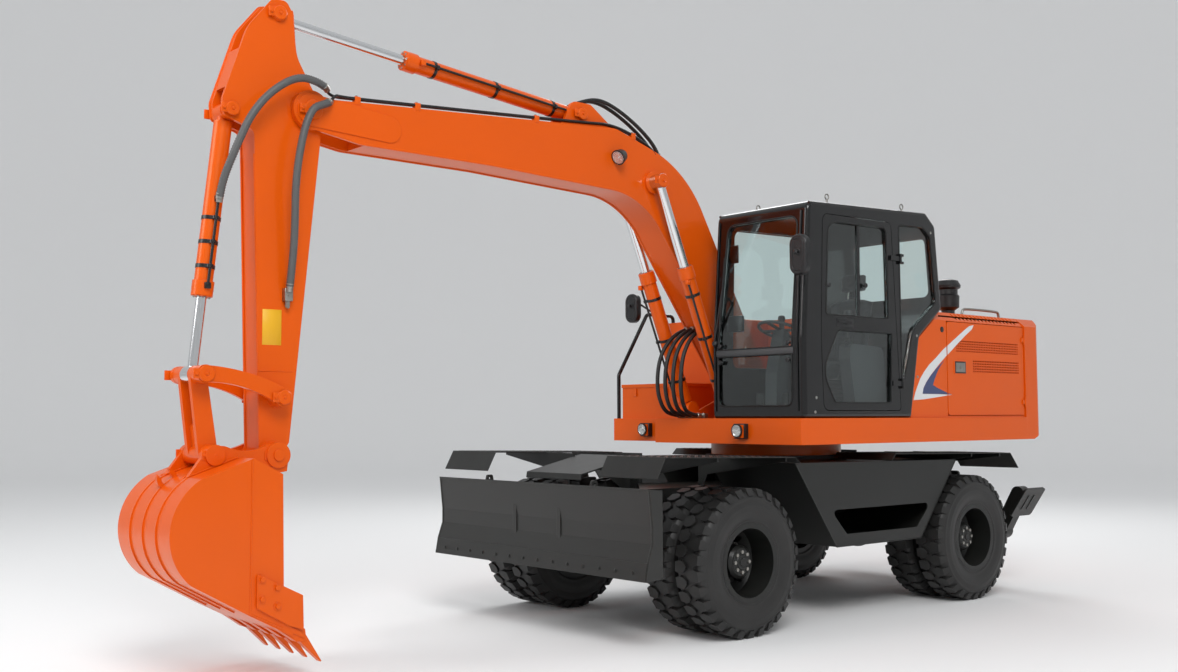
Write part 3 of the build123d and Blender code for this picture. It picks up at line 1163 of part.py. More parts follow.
with BuildPart() as bucket:
    with BuildSketch(across(bucket_half_width)) as bucket_side:
        bucket_profile(0)
    extrude(bucket_side.sketch, amount=2 * bucket_half_width)
    for strip_y in wear_strip_places:
        with BuildSketch(across(strip_y + wear_strip_width / 2)) as strip_shape:
            with BuildLine():
                ThreePointArc((5384, 1217), (5560 + wear_strip_height, 925), (5434, 609))
                Polyline((5434, 609), (5084, 408), (5000, 500), (5300, 1100), (5384, 1217))
            make_face()
        extrude(strip_shape.sketch, amount=wear_strip_width)
    with BuildSketch(across(bucket_half_width - bucket_plate)) as bucket_inside:
        bucket_profile(bucket_shell)
        Polygon((4600, 180), (4820, 280), (4862 + 60, 560), (4875 + 60, 1228 - bucket_shell), (4600, 1228 - bucket_shell),
                align=None)
    extrude(bucket_inside.sketch, amount=2 * (bucket_half_width - bucket_plate), mode=Mode.SUBTRACT)
    # The lip: a thick plate welded in along the foot of the shell
    plate_y(((5080, 418), (5072, 446), (4740, 287), (4722, 246)), -bucket_half_width, bucket_half_width)
    for side, sign in sides:
        # Ears: a saddle between the two pins, running down the back of the shell
        low, high = sorted((sign * ear_y[0], sign * ear_y[1]))
        ear = (
            (4745, 1235), (4733, 1334, 30), (4775, 1408, 30), (4860, 1402, 60), (5010, 1345, 300), (5150, 1396, 60),
            (5235, 1404, 30), (5290, 1330, 40), (5440, 1130), (5300, 1180), (5060, 1300), (4880, 1215),
        )
        plate_y(ear, low, high)
        for pin, radius in ((bucket_pivot, 78), (link_foot, 62)):
            round_y(pin, radius, *sorted((sign * ear_y[0], sign * (ear_y[1] + 15))))
        # Side cutters, bolted outside the side plates
        cutter = ((5040, 655, 12), (4745, 505, 8), (4738, 300, 8), (4835, 335, 8), (5040, 455, 12))
        plate_y(cutter, *sorted((sign * (bucket_half_width - 1), sign * (bucket_half_width + 18))))
    round_y(bucket_pivot, 35, -215, 215)
    # The lifting hook on the back of the shell, between the ears
    with BuildSketch(across(12)) as hook:
        with Locations(lifting_hook):
            Circle(62)
            Circle(34, mode=Mode.SUBTRACT)
        with Locations((lifting_hook[0] + 30, lifting_hook[1] + 52)):
            Rectangle(70, 60, rotation=-30, mode=Mode.SUBTRACT)
    extrude(hook.sketch, amount=24)
    for tooth in range(tooth_count):
        tooth_y = (tooth / (tooth_count - 1) * 2 - 1) * (bucket_half_width - 45)
        # The adapter holds the lip from both sides, and the tooth is pinned on its nose
        plate_y(
            ((4960, 392), (4950, 356, 10), (4770, 228, 14), (4706, 232, 10), (4716, 300, 10), (4800, 345, 14)),
            tooth_y - 37, tooth_y + 37,
        )
        tip = ((4752, 276), (4602, 92))
        tooth_plane = toward(*tip, tooth_y)
        with BuildSketch(tooth_plane) as tooth_root:
            Rectangle(66, 62)
        with BuildSketch(tooth_plane.offset(distance(*tip))) as tooth_edge:
            Rectangle(50, 8)
        loft([tooth_root.sketch, tooth_edge.sketch])
bucket.part.label = "bucket"
export_step(bucket.part, "parts/bucket.step")
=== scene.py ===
from math import cos, pi, radians, sin

import bmesh
import bpy
from mathutils import Matrix, Vector


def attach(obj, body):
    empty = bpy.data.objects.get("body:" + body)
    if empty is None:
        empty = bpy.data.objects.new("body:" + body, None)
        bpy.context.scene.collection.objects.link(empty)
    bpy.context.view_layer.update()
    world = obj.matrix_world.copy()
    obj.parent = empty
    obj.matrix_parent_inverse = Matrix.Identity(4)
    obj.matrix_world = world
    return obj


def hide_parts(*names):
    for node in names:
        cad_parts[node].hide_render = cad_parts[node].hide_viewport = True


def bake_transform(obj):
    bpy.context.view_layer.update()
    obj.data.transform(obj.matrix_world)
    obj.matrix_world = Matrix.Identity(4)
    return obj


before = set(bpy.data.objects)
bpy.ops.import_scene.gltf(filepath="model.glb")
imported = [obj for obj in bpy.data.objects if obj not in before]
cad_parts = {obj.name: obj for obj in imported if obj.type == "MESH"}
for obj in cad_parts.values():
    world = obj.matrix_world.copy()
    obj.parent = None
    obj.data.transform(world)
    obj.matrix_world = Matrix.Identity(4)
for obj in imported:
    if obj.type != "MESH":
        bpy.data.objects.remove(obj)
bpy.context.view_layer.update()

# Studio: a pale floor that curves up all round, soft light from above, and the camera.
# The camera stands low in front of the machine, to its left, and looks slightly up.
camera_place = Vector((6.746, 7.264, 1.565))
camera_yaw, camera_pitch, camera_roll = radians(-130.43), radians(3.69), radians(-0.2)
ahead = Vector((cos(camera_pitch) * cos(camera_yaw), cos(camera_pitch) * sin(camera_yaw), sin(camera_pitch)))
level_right = ahead.cross(Vector((0, 0, 1))).normalized()
level_up = level_right.cross(ahead)
camera_right = cos(camera_roll) * level_right + sin(camera_roll) * level_up
camera_up = cos(camera_roll) * level_up - sin(camera_roll) * level_right
camera_data = bpy.data.cameras.new("camera")
camera_data.sensor_width = 36
camera_data.lens = 38.09
camera_data.clip_end = 300
camera = bpy.data.objects.new("camera", camera_data)
camera.matrix_world = Matrix.Translation(camera_place) @ Matrix(
    (camera_right, camera_up, -ahead)).transposed().to_4x4()
bpy.context.scene.collection.objects.link(camera)
bpy.context.scene.camera = camera


def new_material(name):
    """A node material: the material, its nodes, its links and its shader."""
    material = bpy.data.materials.new(name)
    material.use_nodes = True
    nodes, links = material.node_tree.nodes, material.node_tree.links
    return material, nodes, links, nodes["Principled BSDF"]


floor_material, nodes, links, shader = new_material("floor_paper")
shader.inputs["Base Color"].default_value = (0.90, 0.90, 0.90, 1)
shader.inputs["Roughness"].default_value = 0.9
shader.inputs["Specular IOR Level"].default_value = 0.1
floor_mesh = bmesh.new()
floor_radius, cove_radius, cove_steps, wall_height, floor_sides = 26, 8, 8, 26, 96
rings = [(0.01, 0), (8, 0), (floor_radius, 0)]
for step in range(1, cove_steps + 1):
    bend = step * pi / (2 * cove_steps)
    rings.append((floor_radius + cove_radius * sin(bend), cove_radius - cove_radius * cos(bend)))
rings.append((floor_radius + cove_radius, wall_height))
rows = [[floor_mesh.verts.new((r * cos(2 * pi * k / floor_sides), r * sin(2 * pi * k / floor_sides), z))
         for k in range(floor_sides)] for r, z in rings]
for row, higher in zip(rows, rows[1:]):
    for k in range(floor_sides):
        following = (k + 1) % floor_sides
        floor_mesh.faces.new((row[k], row[following], higher[following], higher[k])).smooth = True
floor_mesh.faces.new(rows[0])
floor_data = bpy.data.meshes.new("studio_floor")
floor_mesh.to_mesh(floor_data)
floor_mesh.free()
floor = bpy.data.objects.new("studio_floor", floor_data)
floor_data.materials.append(floor_material)
bpy.context.scene.collection.objects.link(floor)

world = bpy.data.worlds.new("studio_light")
world.use_nodes = True
world.node_tree.nodes["Background"].inputs["Color"].default_value = (0.96, 0.98, 1, 1)
world.node_tree.nodes["Background"].inputs["Strength"].default_value = 0.62
bpy.context.scene.world = world
studio_lamps = (
    # name, place, target, width, power
    ("key_light", (7, 10, 11), (0, 0, 1.5), 7, 1150),
    ("fill_light", (12, -3, 7), (0, 0, 1.5), 6, 420),
    ("rear_light", (-9, -6, 9), (0, 0, 2), 6, 420),
)
for name, place, target, width, power in studio_lamps:
    lamp_data = bpy.data.lights.new(name, "AREA")
    lamp_data.shape = "DISK"
    lamp_data.size = width
    lamp_data.energy = power
    lamp = bpy.data.objects.new(name, lamp_data)
    lamp.location = place
    lamp.rotation_euler = (Vector(target) - Vector(place)).to_track_quat("-Z", "Y").to_euler()
    bpy.context.scene.collection.objects.link(lamp)
bpy.context.scene.view_settings.view_transform = "Standard"


# Sheet steel and castings: primed, then sprayed with a two-part enamel.
# The paint has a faint orange peel and holds a little dust low down, and a painted highlight lightens the
# plates' edges.
slew_x = -1.58
sides = (("left", 1), ("right", -1))


def enamel(name, colour, roughness, gloss, peel=0.02, edge_radius=0.004, edge_highlight_tint=1.25, dust=0.0,
           warmth=(1, 1, 1)):
    """Sprayed enamel: colour drift, orange peel, a painted highlight along the edges and a film of dust on what
    faces up.
    """
    material, nodes, links, shader = new_material(name)
    place = nodes.new("ShaderNodeTexCoord")
    drift = nodes.new("ShaderNodeTexNoise")
    drift.inputs["Scale"].default_value = 1.6
    drift.inputs["Detail"].default_value = 6
    links.new(place.outputs["Object"], drift.inputs["Vector"])
    body = nodes.new("ShaderNodeMix")
    body.data_type = "RGBA"
    body.inputs["A"].default_value = (*[0.9 * c for c in colour], 1)
    body.inputs["B"].default_value = (*colour, 1)
    links.new(drift.outputs["Fac"], body.inputs["Factor"])

    round_edge = nodes.new("ShaderNodeBevel")
    round_edge.samples = 6
    round_edge.inputs["Radius"].default_value = edge_radius
    flat_normal = nodes.new("ShaderNodeNewGeometry")
    facing = nodes.new("ShaderNodeVectorMath")
    facing.operation = "DOT_PRODUCT"
    links.new(round_edge.outputs["Normal"], facing.inputs[0])
    links.new(flat_normal.outputs["Normal"], facing.inputs[1])
    # Painted highlight: a lighter colour is mixed in along every edge, where the bevelled normal turns from the
    # flat one.
    edge = nodes.new("ShaderNodeMapRange")
    edge.inputs["From Min"].default_value = 0.99
    edge.inputs["From Max"].default_value = 0.86
    edge.inputs["To Max"].default_value = 0.5
    links.new(facing.outputs["Value"], edge.inputs["Value"])
    edge_highlight = nodes.new("ShaderNodeMix")
    edge_highlight.data_type = "RGBA"
    edge_highlight.inputs["B"].default_value = (*[min(1, edge_highlight_tint * c + 0.006) for c in colour], 1)
    links.new(edge.outputs["Result"], edge_highlight.inputs["Factor"])
    links.new(body.outputs["Result"], edge_highlight.inputs["A"])
    last_colour = edge_highlight.outputs["Result"]

    if dust:
        upward = nodes.new("ShaderNodeSeparateXYZ")
        links.new(flat_normal.outputs["Normal"], upward.inputs["Vector"])
        speckle = nodes.new("ShaderNodeTexNoise")
        speckle.inputs["Scale"].default_value = 9
        speckle.inputs["Detail"].default_value = 8
        links.new(place.outputs["Object"], speckle.inputs["Vector"])
        settled = nodes.new("ShaderNodeMath")
        settled.operation = "MULTIPLY"
        links.new(upward.outputs["Z"], settled.inputs[0])
        links.new(speckle.outputs["Fac"], settled.inputs[1])
        amount = nodes.new("ShaderNodeMapRange")
        amount.inputs["From Min"].default_value = 0.2
        amount.inputs["From Max"].default_value = 0.75
        amount.inputs["To Max"].default_value = dust
        links.new(settled.outputs["Value"], amount.inputs["Value"])
        dusty = nodes.new("ShaderNodeMix")
        dusty.data_type = "RGBA"
        dusty.inputs["B"].default_value = (0.15, 0.145, 0.13, 1)
        links.new(amount.outputs["Result"], dusty.inputs["Factor"])
        links.new(last_colour, dusty.inputs["A"])
        last_colour = dusty.outputs["Result"]
    links.new(last_colour, shader.inputs["Base Color"])

    patchy = nodes.new("ShaderNodeMapRange")
    patchy.inputs["To Min"].default_value = roughness * 0.85
    patchy.inputs["To Max"].default_value = roughness * 1.2
    links.new(drift.outputs["Fac"], patchy.inputs["Value"])
    links.new(patchy.outputs["Result"], shader.inputs["Roughness"])
    shader.inputs["Coat Weight"].default_value = gloss
    shader.inputs["Coat Roughness"].default_value = 0.08
    shader.inputs["Specular IOR Level"].default_value = 0.4
    shader.inputs["Specular Tint"].default_value = (*warmth, 1)
    shader.inputs["Coat Tint"].default_value = (*warmth, 1)

    grain = nodes.new("ShaderNodeTexNoise")
    grain.inputs["Scale"].default_value = 140
    grain.inputs["Detail"].default_value = 3
    links.new(place.outputs["Object"], grain.inputs["Vector"])
    bump = nodes.new("ShaderNodeBump")
    bump.inputs["Strength"].default_value = peel
    bump.inputs["Distance"].default_value = 0.002
    links.new(grain.outputs["Fac"], bump.inputs["Height"])
    links.new(round_edge.outputs["Normal"], bump.inputs["Normal"])
    links.new(bump.outputs["Normal"], shader.inputs["Normal"])
    return material


def finish_nodes(material, *names):
    """Gives CAD nodes their finish."""
    for name in names:
        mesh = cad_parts[name].data
        mesh.materials.clear()
        mesh.materials.append(material)


orange_enamel = enamel("orange_enamel", (0.76, 0.105, 0.002), 0.34, 0.25, warmth=(1.0, 0.68, 0.34))
grey_enamel = enamel("grey_enamel", (0.010, 0.0105, 0.0095), 0.42, 0.08, peel=0.05, edge_highlight_tint=2.4, dust=0.08)
blade_enamel = enamel("blade_enamel", (0.019, 0.019, 0.0175), 0.38, 0.1, peel=0.04, edge_highlight_tint=2.4, dust=0.08)
black_enamel = enamel("black_enamel", (0.0025, 0.0025, 0.003), 0.2, 0.3, edge_highlight_tint=3.0)
cast_iron = enamel("cast_iron", (0.06, 0.06, 0.06), 0.6, 0.0, peel=0.25)
finish_nodes(
    orange_enamel, "upper_frame", "counterweight", "engine_hood", "tanks", "tool_box", "tool_box_lid",
    "engine_door_left", "engine_door_right", "boom", "boom_cylinder_barrels", "arm", "arm_cylinder_barrel",
    "bucket_cylinder_barrel", "guide_links", "bucket_link", "bucket",
)
finish_nodes(grey_enamel, "chassis_frame", "fenders", "front_axle", "rear_axle", "driveline", "tie_rod",
             "blade_cylinder_barrels")
for side, sign in sides:
    finish_nodes(grey_enamel, f"knuckle_{side}", f"outrigger_{side}", f"outrigger_barrel_{side}",
                 f"rims_front_{side}", f"rims_rear_{side}")
finish_nodes(blade_enamel, "dozer_blade", "blade_arms", "blade_links")
finish_nodes(black_enamel, "cab_shell", "cab_door", "handrails")
finish_nodes(cast_iron, "slew_ring", "engine_block")


# Cylinder rods: ground steel with hard chrome.
# They are polished along their length, so the sheen varies a little round them.
chrome, nodes, links, shader = new_material("hard_chrome")
shader.inputs["Metallic"].default_value = 1
shader.inputs["Base Color"].default_value = (0.70, 0.71, 0.72, 1)
turned = nodes.new("ShaderNodeTexNoise")
turned.inputs["Scale"].default_value = 60
place = nodes.new("ShaderNodeTexCoord")
links.new(place.outputs["Object"], turned.inputs["Vector"])
sheen = nodes.new("ShaderNodeMapRange")
sheen.inputs["To Min"].default_value = 0.10
sheen.inputs["To Max"].default_value = 0.20
links.new(turned.outputs["Fac"], sheen.inputs["Value"])
links.new(sheen.outputs["Result"], shader.inputs["Roughness"])
finish_nodes(chrome, "boom_cylinder_rods", "arm_cylinder_rod", "bucket_cylinder_rod", "blade_cylinder_rods",
             "outrigger_rod_left", "outrigger_rod_right")


# Cab windows: flat safety glass with a pale green tint.
# It is toughened, held in rubber, and has faint smears from wiping.
window_glass, nodes, links, shader = new_material("window_glass")
shader.inputs["Base Color"].default_value = (0.86, 0.96, 0.95, 1)
shader.inputs["IOR"].default_value = 1.45
shader.inputs["Transmission Weight"].default_value = 1
smear = nodes.new("ShaderNodeTexNoise")
smear.inputs["Scale"].default_value = 3
place = nodes.new("ShaderNodeTexCoord")
links.new(place.outputs["Object"], smear.inputs["Vector"])
smears = nodes.new("ShaderNodeMapRange")
smears.inputs["To Min"].default_value = 0.0
smears.inputs["To Max"].default_value = 0.03
links.new(smear.outputs["Fac"], smears.inputs["Value"])
links.new(smears.outputs["Result"], shader.inputs["Roughness"])
finish_nodes(window_glass, "cab_glass", "cab_door_glass")


# Moulded plastic: the controls, the mirrors' shells and the air pre-cleaner.
# It is injection moulded, with a fine grain from the tool.
def moulded_plastic(name, colour, roughness, grain_scale=260, grain_depth=0.15):
    """Plastic or rubber with a fine moulded grain."""
    material, nodes, links, shader = new_material(name)
    place = nodes.new("ShaderNodeTexCoord")
    grain = nodes.new("ShaderNodeTexNoise")
    grain.inputs["Scale"].default_value = grain_scale
    links.new(place.outputs["Object"], grain.inputs["Vector"])
    tone = nodes.new("ShaderNodeMix")
    tone.data_type = "RGBA"
    tone.inputs["A"].default_value = (*[0.8 * c for c in colour], 1)
    tone.inputs["B"].default_value = (*colour, 1)
    links.new(grain.outputs["Fac"], tone.inputs["Factor"])
    links.new(tone.outputs["Result"], shader.inputs["Base Color"])
    shader.inputs["Roughness"].default_value = roughness
    bump = nodes.new("ShaderNodeBump")
    bump.inputs["Strength"].default_value = grain_depth
    bump.inputs["Distance"].default_value = 0.001
    links.new(grain.outputs["Fac"], bump.inputs["Height"])
    links.new(bump.outputs["Normal"], shader.inputs["Normal"])
    return material


black_plastic = moulded_plastic("black_plastic", (0.010, 0.010, 0.011), 0.38)
grey_plastic = moulded_plastic("grey_plastic", (0.055, 0.057, 0.06), 0.5)
finish_nodes(black_plastic, "precleaner", "mirrors")
finish_nodes(grey_plastic, "cab_controls")


# Tyres: two on each hub, of black rubber, with diamond lugs in two rows and notched shoulders.
# Each is a moulded carcass. One pitch of its tread is drawn, and copied thirty times round the axle.
def spot(x, y, z):
    """A place whose X is given from the slew axis."""
    return Vector((slew_x + x, y, z))


def make_piece(name, shape, body, material, sharp=35):
    """Makes a shape a finished piece that rides on a body. Edges sharper than the angle stay crisp."""
    bmesh.ops.recalc_face_normals(shape, faces=shape.faces)
    data = bpy.data.meshes.new(name)
    shape.to_mesh(data)
    shape.free()
    piece = bpy.data.objects.new(name, data)
    bpy.context.scene.collection.objects.link(piece)
    return finish_piece(piece, body, material, sharp)


def finish_piece(piece, body, material, sharp=35):
    """Gives a mesh object its shading, finish and body. A hose that bends between two bodies rides on none."""
    data = piece.data
    data.materials.clear()
    data.materials.append(material)
    data.polygons.foreach_set("use_smooth", [True] * len(data.polygons))
    data.set_sharp_from_angle(angle=radians(sharp))
    if body:
        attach(piece, body)
    return piece


def add_turned(shape, start, direction, profile, sides=32):
    """Turns a profile of (radius, distance along) about an axis. Ends at radius 0 are closed to a point."""
    spin = Vector(direction).to_track_quat("Z", "Y").to_matrix()
    rows = []
    for radius, along in profile:
        if radius == 0:
            rows.append([shape.verts.new(Vector(start) + spin @ Vector((0, 0, along)))])
        else:
            rows.append([
                shape.verts.new(Vector(start) + spin @ Vector(
                    (radius * cos(2 * pi * k / sides), radius * sin(2 * pi * k / sides), along)))
                for k in range(sides)
            ])
    for row, following in zip(rows, rows[1:]):
        for k in range(sides):
            last = (k + 1) % sides
            if len(row) == 1 and len(following) > 1:
                shape.faces.new((row[0], following[k], following[last]))
            elif len(following) == 1 and len(row) > 1:
                shape.faces.new((row[k], row[last], following[0]))
            elif len(row) > 1:
                shape.faces.new((row[k], row[last], following[last], following[k]))
    return rows


def close_ring(shape, first, last):
    """Joins the last row of a turned profile to its first, which makes a closed ring."""
    sides = len(first)
    for k in range(sides):
        following = (k + 1) % sides
        shape.faces.new((last[k], last[following], first[following], first[k]))


def grow(name, start_mesh, tree, sizes, body, material, sharp=35):
    """Runs a geometry tree on a mesh, and keeps the result as a plain finished piece."""
    piece = bpy.data.objects.new(name, start_mesh)
    bpy.context.scene.collection.objects.link(piece)
    growth = piece.modifiers.new("growth", "NODES")
    growth.node_group = tree
    for socket in tree.interface.items_tree:
        if socket.in_out == "INPUT" and socket.name in sizes:
            growth[socket.identifier] = sizes[socket.name]
        if socket.in_out == "INPUT" and socket.name == "Finish":
            growth[socket.identifier] = material
    plain = bpy.data.meshes.new_from_object(piece.evaluated_get(bpy.context.evaluated_depsgraph_get()))
    piece.modifiers.remove(growth)
    piece.data = plain
    return finish_piece(piece, body, material, sharp)


def new_tree(name, *inputs):
    """A geometry tree with named inputs: the tree, its nodes, its links, and what goes in and comes out."""
    tree = bpy.data.node_groups.new(name, "GeometryNodeTree")
    tree.interface.new_socket("Start", in_out="INPUT", socket_type="NodeSocketGeometry")
    for label, kind, value in inputs:
        socket = tree.interface.new_socket(label, in_out="INPUT", socket_type=f"NodeSocket{kind}")
        socket.default_value = value
    tree.interface.new_socket("Finish", in_out="INPUT", socket_type="NodeSocketMaterial")
    tree.interface.new_socket("Result", in_out="OUTPUT", socket_type="NodeSocketGeometry")
    return tree, tree.nodes, tree.links, tree.nodes.new("NodeGroupInput"), tree.nodes.new("NodeGroupOutput")


def end_tree(nodes, links, given, result, last):
    """Ends a tree in real geometry with its finish."""
    real = nodes.new("GeometryNodeRealizeInstances")
    finish = nodes.new("GeometryNodeSetMaterial")
    links.new(last, real.inputs["Geometry"])
    links.new(real.outputs["Geometry"], finish.inputs["Geometry"])
    links.new(given.outputs["Finish"], finish.inputs["Material"])
    links.new(finish.outputs["Geometry"], result.inputs["Result"])


round_tree, nodes, links, given, result = new_tree(
    "copies_round_axle", ("Count", "Int", 30), ("Axle", "Vector", (0, 0, 0)))
points = nodes.new("GeometryNodePoints")
links.new(given.outputs["Count"], points.inputs["Count"])
number = nodes.new("GeometryNodeInputIndex")
step = nodes.new("ShaderNodeMath")
step.operation = "DIVIDE"
step.inputs[0].default_value = 2 * pi
links.new(given.outputs["Count"], step.inputs[1])
angle = nodes.new("ShaderNodeMath")
angle.operation = "MULTIPLY"
links.new(number.outputs["Index"], angle.inputs[0])
links.new(step.outputs["Value"], angle.inputs[1])
about_y = nodes.new("ShaderNodeCombineXYZ")
links.new(angle.outputs["Value"], about_y.inputs["Y"])
copies = nodes.new("GeometryNodeInstanceOnPoints")
links.new(points.outputs["Points"], copies.inputs["Points"])
links.new(given.outputs["Start"], copies.inputs["Instance"])
links.new(about_y.outputs["Vector"], copies.inputs["Rotation"])
moved = nodes.new("GeometryNodeTransform")
links.new(copies.outputs["Instances"], moved.inputs["Geometry"])
links.new(given.outputs["Axle"], moved.inputs["Translation"])
end_tree(nodes, links, given, result, moved.outputs["Geometry"])

tyre_rubber, nodes, links, shader = new_material("tyre_rubber")
place = nodes.new("ShaderNodeTexCoord")
mottle = nodes.new("ShaderNodeTexNoise")
mottle.inputs["Scale"].default_value = 7
mottle.inputs["Detail"].default_value = 8
links.new(place.outputs["Object"], mottle.inputs["Vector"])
rubber_tone = nodes.new("ShaderNodeMix")
rubber_tone.data_type = "RGBA"
rubber_tone.inputs["A"].default_value = (0.007, 0.007, 0.007, 1)
rubber_tone.inputs["B"].default_value = (0.022, 0.021, 0.020, 1)
links.new(mottle.outputs["Fac"], rubber_tone.inputs["Factor"])
links.new(rubber_tone.outputs["Result"], shader.inputs["Base Color"])
shader.inputs["Roughness"].default_value = 0.5
rubber_grain = nodes.new("ShaderNodeTexNoise")
rubber_grain.inputs["Scale"].default_value = 90
links.new(place.outputs["Object"], rubber_grain.inputs["Vector"])
rubber_bump = nodes.new("ShaderNodeBump")
rubber_bump.inputs["Strength"].default_value = 0.2
rubber_bump.inputs["Distance"].default_value = 0.002
links.new(rubber_grain.outputs["Fac"], rubber_bump.inputs["Height"])
links.new(rubber_bump.outputs["Normal"], shader.inputs["Normal"])

tyre_radius = 0.527
tyre_pitches = 30
tread_step = 2 * pi * tyre_radius / tyre_pitches
twin_y = (1.120, 0.802)
front_axle_x, rear_axle_x = 1.700, -1.120
# Half of the carcass, from the bead to the middle of the tread: distance from the tyre's middle, radius
carcass_half = (
    (0.100, 0.264), (0.112, 0.272), (0.119, 0.290), (0.124, 0.300), (0.121, 0.306), (0.127, 0.330),
    (0.134, 0.352), (0.1385, 0.380), (0.1375, 0.398), (0.1385, 0.402), (0.1375, 0.408), (0.134, 0.432),
    (0.130, 0.448), (0.1315, 0.452), (0.129, 0.457), (0.120, 0.474), (0.106, 0.497), (0.092, 0.505),
    (0.045, 0.508), (0.0, 0.509),
)
# One lug in plan: distance from the tyre's middle, distance round the tread
lug_plan = ((0.107, -0.034), (0.107, 0.034), (0.064, 0.047), (0.030, 0.036), (0.007, 0.010), (0.007, -0.010),
            (0.030, -0.036), (0.064, -0.047))
# The part of a lug that runs down the shoulder: distance from the middle, radius, half its width
shoulder_plan = ((0.107, 0.527, 0.034), (0.121, 0.497, 0.031), (0.130, 0.474, 0.024))
lug_foot_radius, lug_foot_out, lug_foot_along = 0.500, 1.02, 1.09
shoulder_thickness, shoulder_sink, shoulder_flare = 0.022, 0.012, 1.1


def round_tread(y, radius, along):
    """A point of the tread, this far round it from the top of the wheel."""
    return Vector((radius * sin(along / tyre_radius), y, radius * cos(along / tyre_radius)))


def add_lug(shape, tyre_y, out, shift):
    """One lug of a tyre's row with its run down the shoulder. out is 1 or -1, the side of the row."""
    top, foot = [], []
    for y, along in lug_plan:
        top.append(shape.verts.new(round_tread(tyre_y + out * y, tyre_radius, along + shift)))
    for y, along in lug_plan:
        foot_y = tyre_y + out * y * lug_foot_out
        foot.append(shape.verts.new(round_tread(foot_y, lug_foot_radius, lug_foot_along * along + shift)))
    shape.faces.new(top)
    shape.faces.new(foot)
    for k in range(len(top)):
        following = (k + 1) % len(top)
        shape.faces.new((top[k], top[following], foot[following], foot[k]))
    rows = []
    for y, radius, half in shoulder_plan:
        inner_y = tyre_y + out * (y - shoulder_thickness)
        inner_radius = radius - shoulder_sink
        rows.append([
            shape.verts.new(round_tread(tyre_y + out * y, radius, -half + shift)),
            shape.verts.new(round_tread(tyre_y + out * y, radius, half + shift)),
            shape.verts.new(round_tread(inner_y, inner_radius, shoulder_flare * half + shift)),
            shape.verts.new(round_tread(inner_y, inner_radius, -shoulder_flare * half + shift)),
        ])
    for row, following in zip(rows, rows[1:]):
        for k in range(4):
            last = (k + 1) % 4
            shape.faces.new((row[k], row[last], following[last], following[k]))
    shape.faces.new(rows[0])
    shape.faces.new(rows[-1])


for axle, axle_x in (("front", front_axle_x), ("rear", rear_axle_x)):
    for side, sign in sides:
        hub = spot(axle_x, 0, tyre_radius)
        carcass = bmesh.new()
        pitch = bmesh.new()
        for tyre_y in twin_y:
            half = [(radius, sign * tyre_y + y) for y, radius in carcass_half]
            other = [(radius, sign * tyre_y - y) for y, radius in reversed(carcass_half[:-1])]
            rows = add_turned(carcass, hub, (0, 1, 0), half + other, 96)
            close_ring(carcass, rows[0], rows[-1])
            add_lug(pitch, sign * tyre_y, 1, 0)
            add_lug(pitch, sign * tyre_y, -1, tread_step / 2)
        wheel = f"wheel_{axle}_{side}"
        tyre = make_piece(f"tyre_carcass_{axle}_{side}", carcass, wheel, tyre_rubber, 50)
        bmesh.ops.recalc_face_normals(pitch, faces=pitch.faces)
        pitch_data = bpy.data.meshes.new("tread_pitch")
        pitch.to_mesh(pitch_data)
        pitch.free()
        grow(f"tyre_tread_{axle}_{side}", pitch_data, round_tree, {"Count": tyre_pitches, "Axle": hub}, wheel,
             tyre_rubber, 30)
        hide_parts(f"tyres_{axle}_{side}")


# Wheel nuts, hub bolts and valve stems: zinc plated steel, screwed on studs round each hub.
# The same heads hold the wear strip, the side cutters, the pins and the slew ring.
heads_tree, nodes, links, given, result = new_tree(
    "bolt_heads", ("Head radius", "Float", 0.012), ("Head height", "Float", 0.010),
    ("Washer radius", "Float", 0.018), ("Washer height", "Float", 0.003))
parts = nodes.new("GeometryNodeJoinGeometry")
for label, corners in (("Washer", 20), ("Head", 6)):
    part = nodes.new("GeometryNodeMeshCylinder")
    part.inputs["Vertices"].default_value = corners
    links.new(given.outputs[f"{label} radius"], part.inputs["Radius"])
    links.new(given.outputs[f"{label} height"], part.inputs["Depth"])
    raised = nodes.new("ShaderNodeMath")
    raised.operation = "MULTIPLY"
    raised.inputs[1].default_value = 0.5
    links.new(given.outputs[f"{label} height"], raised.inputs[0])
    if label == "Head":
        over_washer = nodes.new("ShaderNodeMath")
        links.new(raised.outputs["Value"], over_washer.inputs[0])
        links.new(given.outputs["Washer height"], over_washer.inputs[1])
        raised = over_washer
    upward = nodes.new("ShaderNodeCombineXYZ")
    links.new(raised.outputs["Value"], upward.inputs["Z"])
    moved = nodes.new("GeometryNodeTransform")
    links.new(part.outputs["Mesh"], moved.inputs["Geometry"])
    links.new(upward.outputs["Vector"], moved.inputs["Translation"])
    links.new(moved.outputs["Geometry"], parts.inputs["Geometry"])
aim = nodes.new("GeometryNodeInputNamedAttribute")
aim.data_type = "FLOAT_VECTOR"
aim.inputs["Name"].default_value = "aim"
facing = nodes.new("FunctionNodeAlignRotationToVector")
links.new(aim.outputs["Attribute"], facing.inputs["Vector"])
copies = nodes.new("GeometryNodeInstanceOnPoints")
links.new(given.outputs["Start"], copies.inputs["Points"])
links.new(parts.outputs["Geometry"], copies.inputs["Instance"])
links.new(facing.outputs["Rotation"], copies.inputs["Rotation"])
end_tree(nodes, links, given, result, copies.outputs["Instances"])

plated_steel, nodes, links, shader = new_material("plated_steel")
place = nodes.new("ShaderNodeTexCoord")
spangle = nodes.new("ShaderNodeTexNoise")
spangle.inputs["Scale"].default_value = 45
links.new(place.outputs["Object"], spangle.inputs["Vector"])
tone = nodes.new("ShaderNodeMix")
tone.data_type = "RGBA"
tone.inputs["A"].default_value = (0.26, 0.25, 0.23, 1)
tone.inputs["B"].default_value = (0.42, 0.41, 0.38, 1)
links.new(spangle.outputs["Fac"], tone.inputs["Factor"])
links.new(tone.outputs["Result"], shader.inputs["Base Color"])
shader.inputs["Metallic"].default_value = 1
shader.inputs["Roughness"].default_value = 0.36


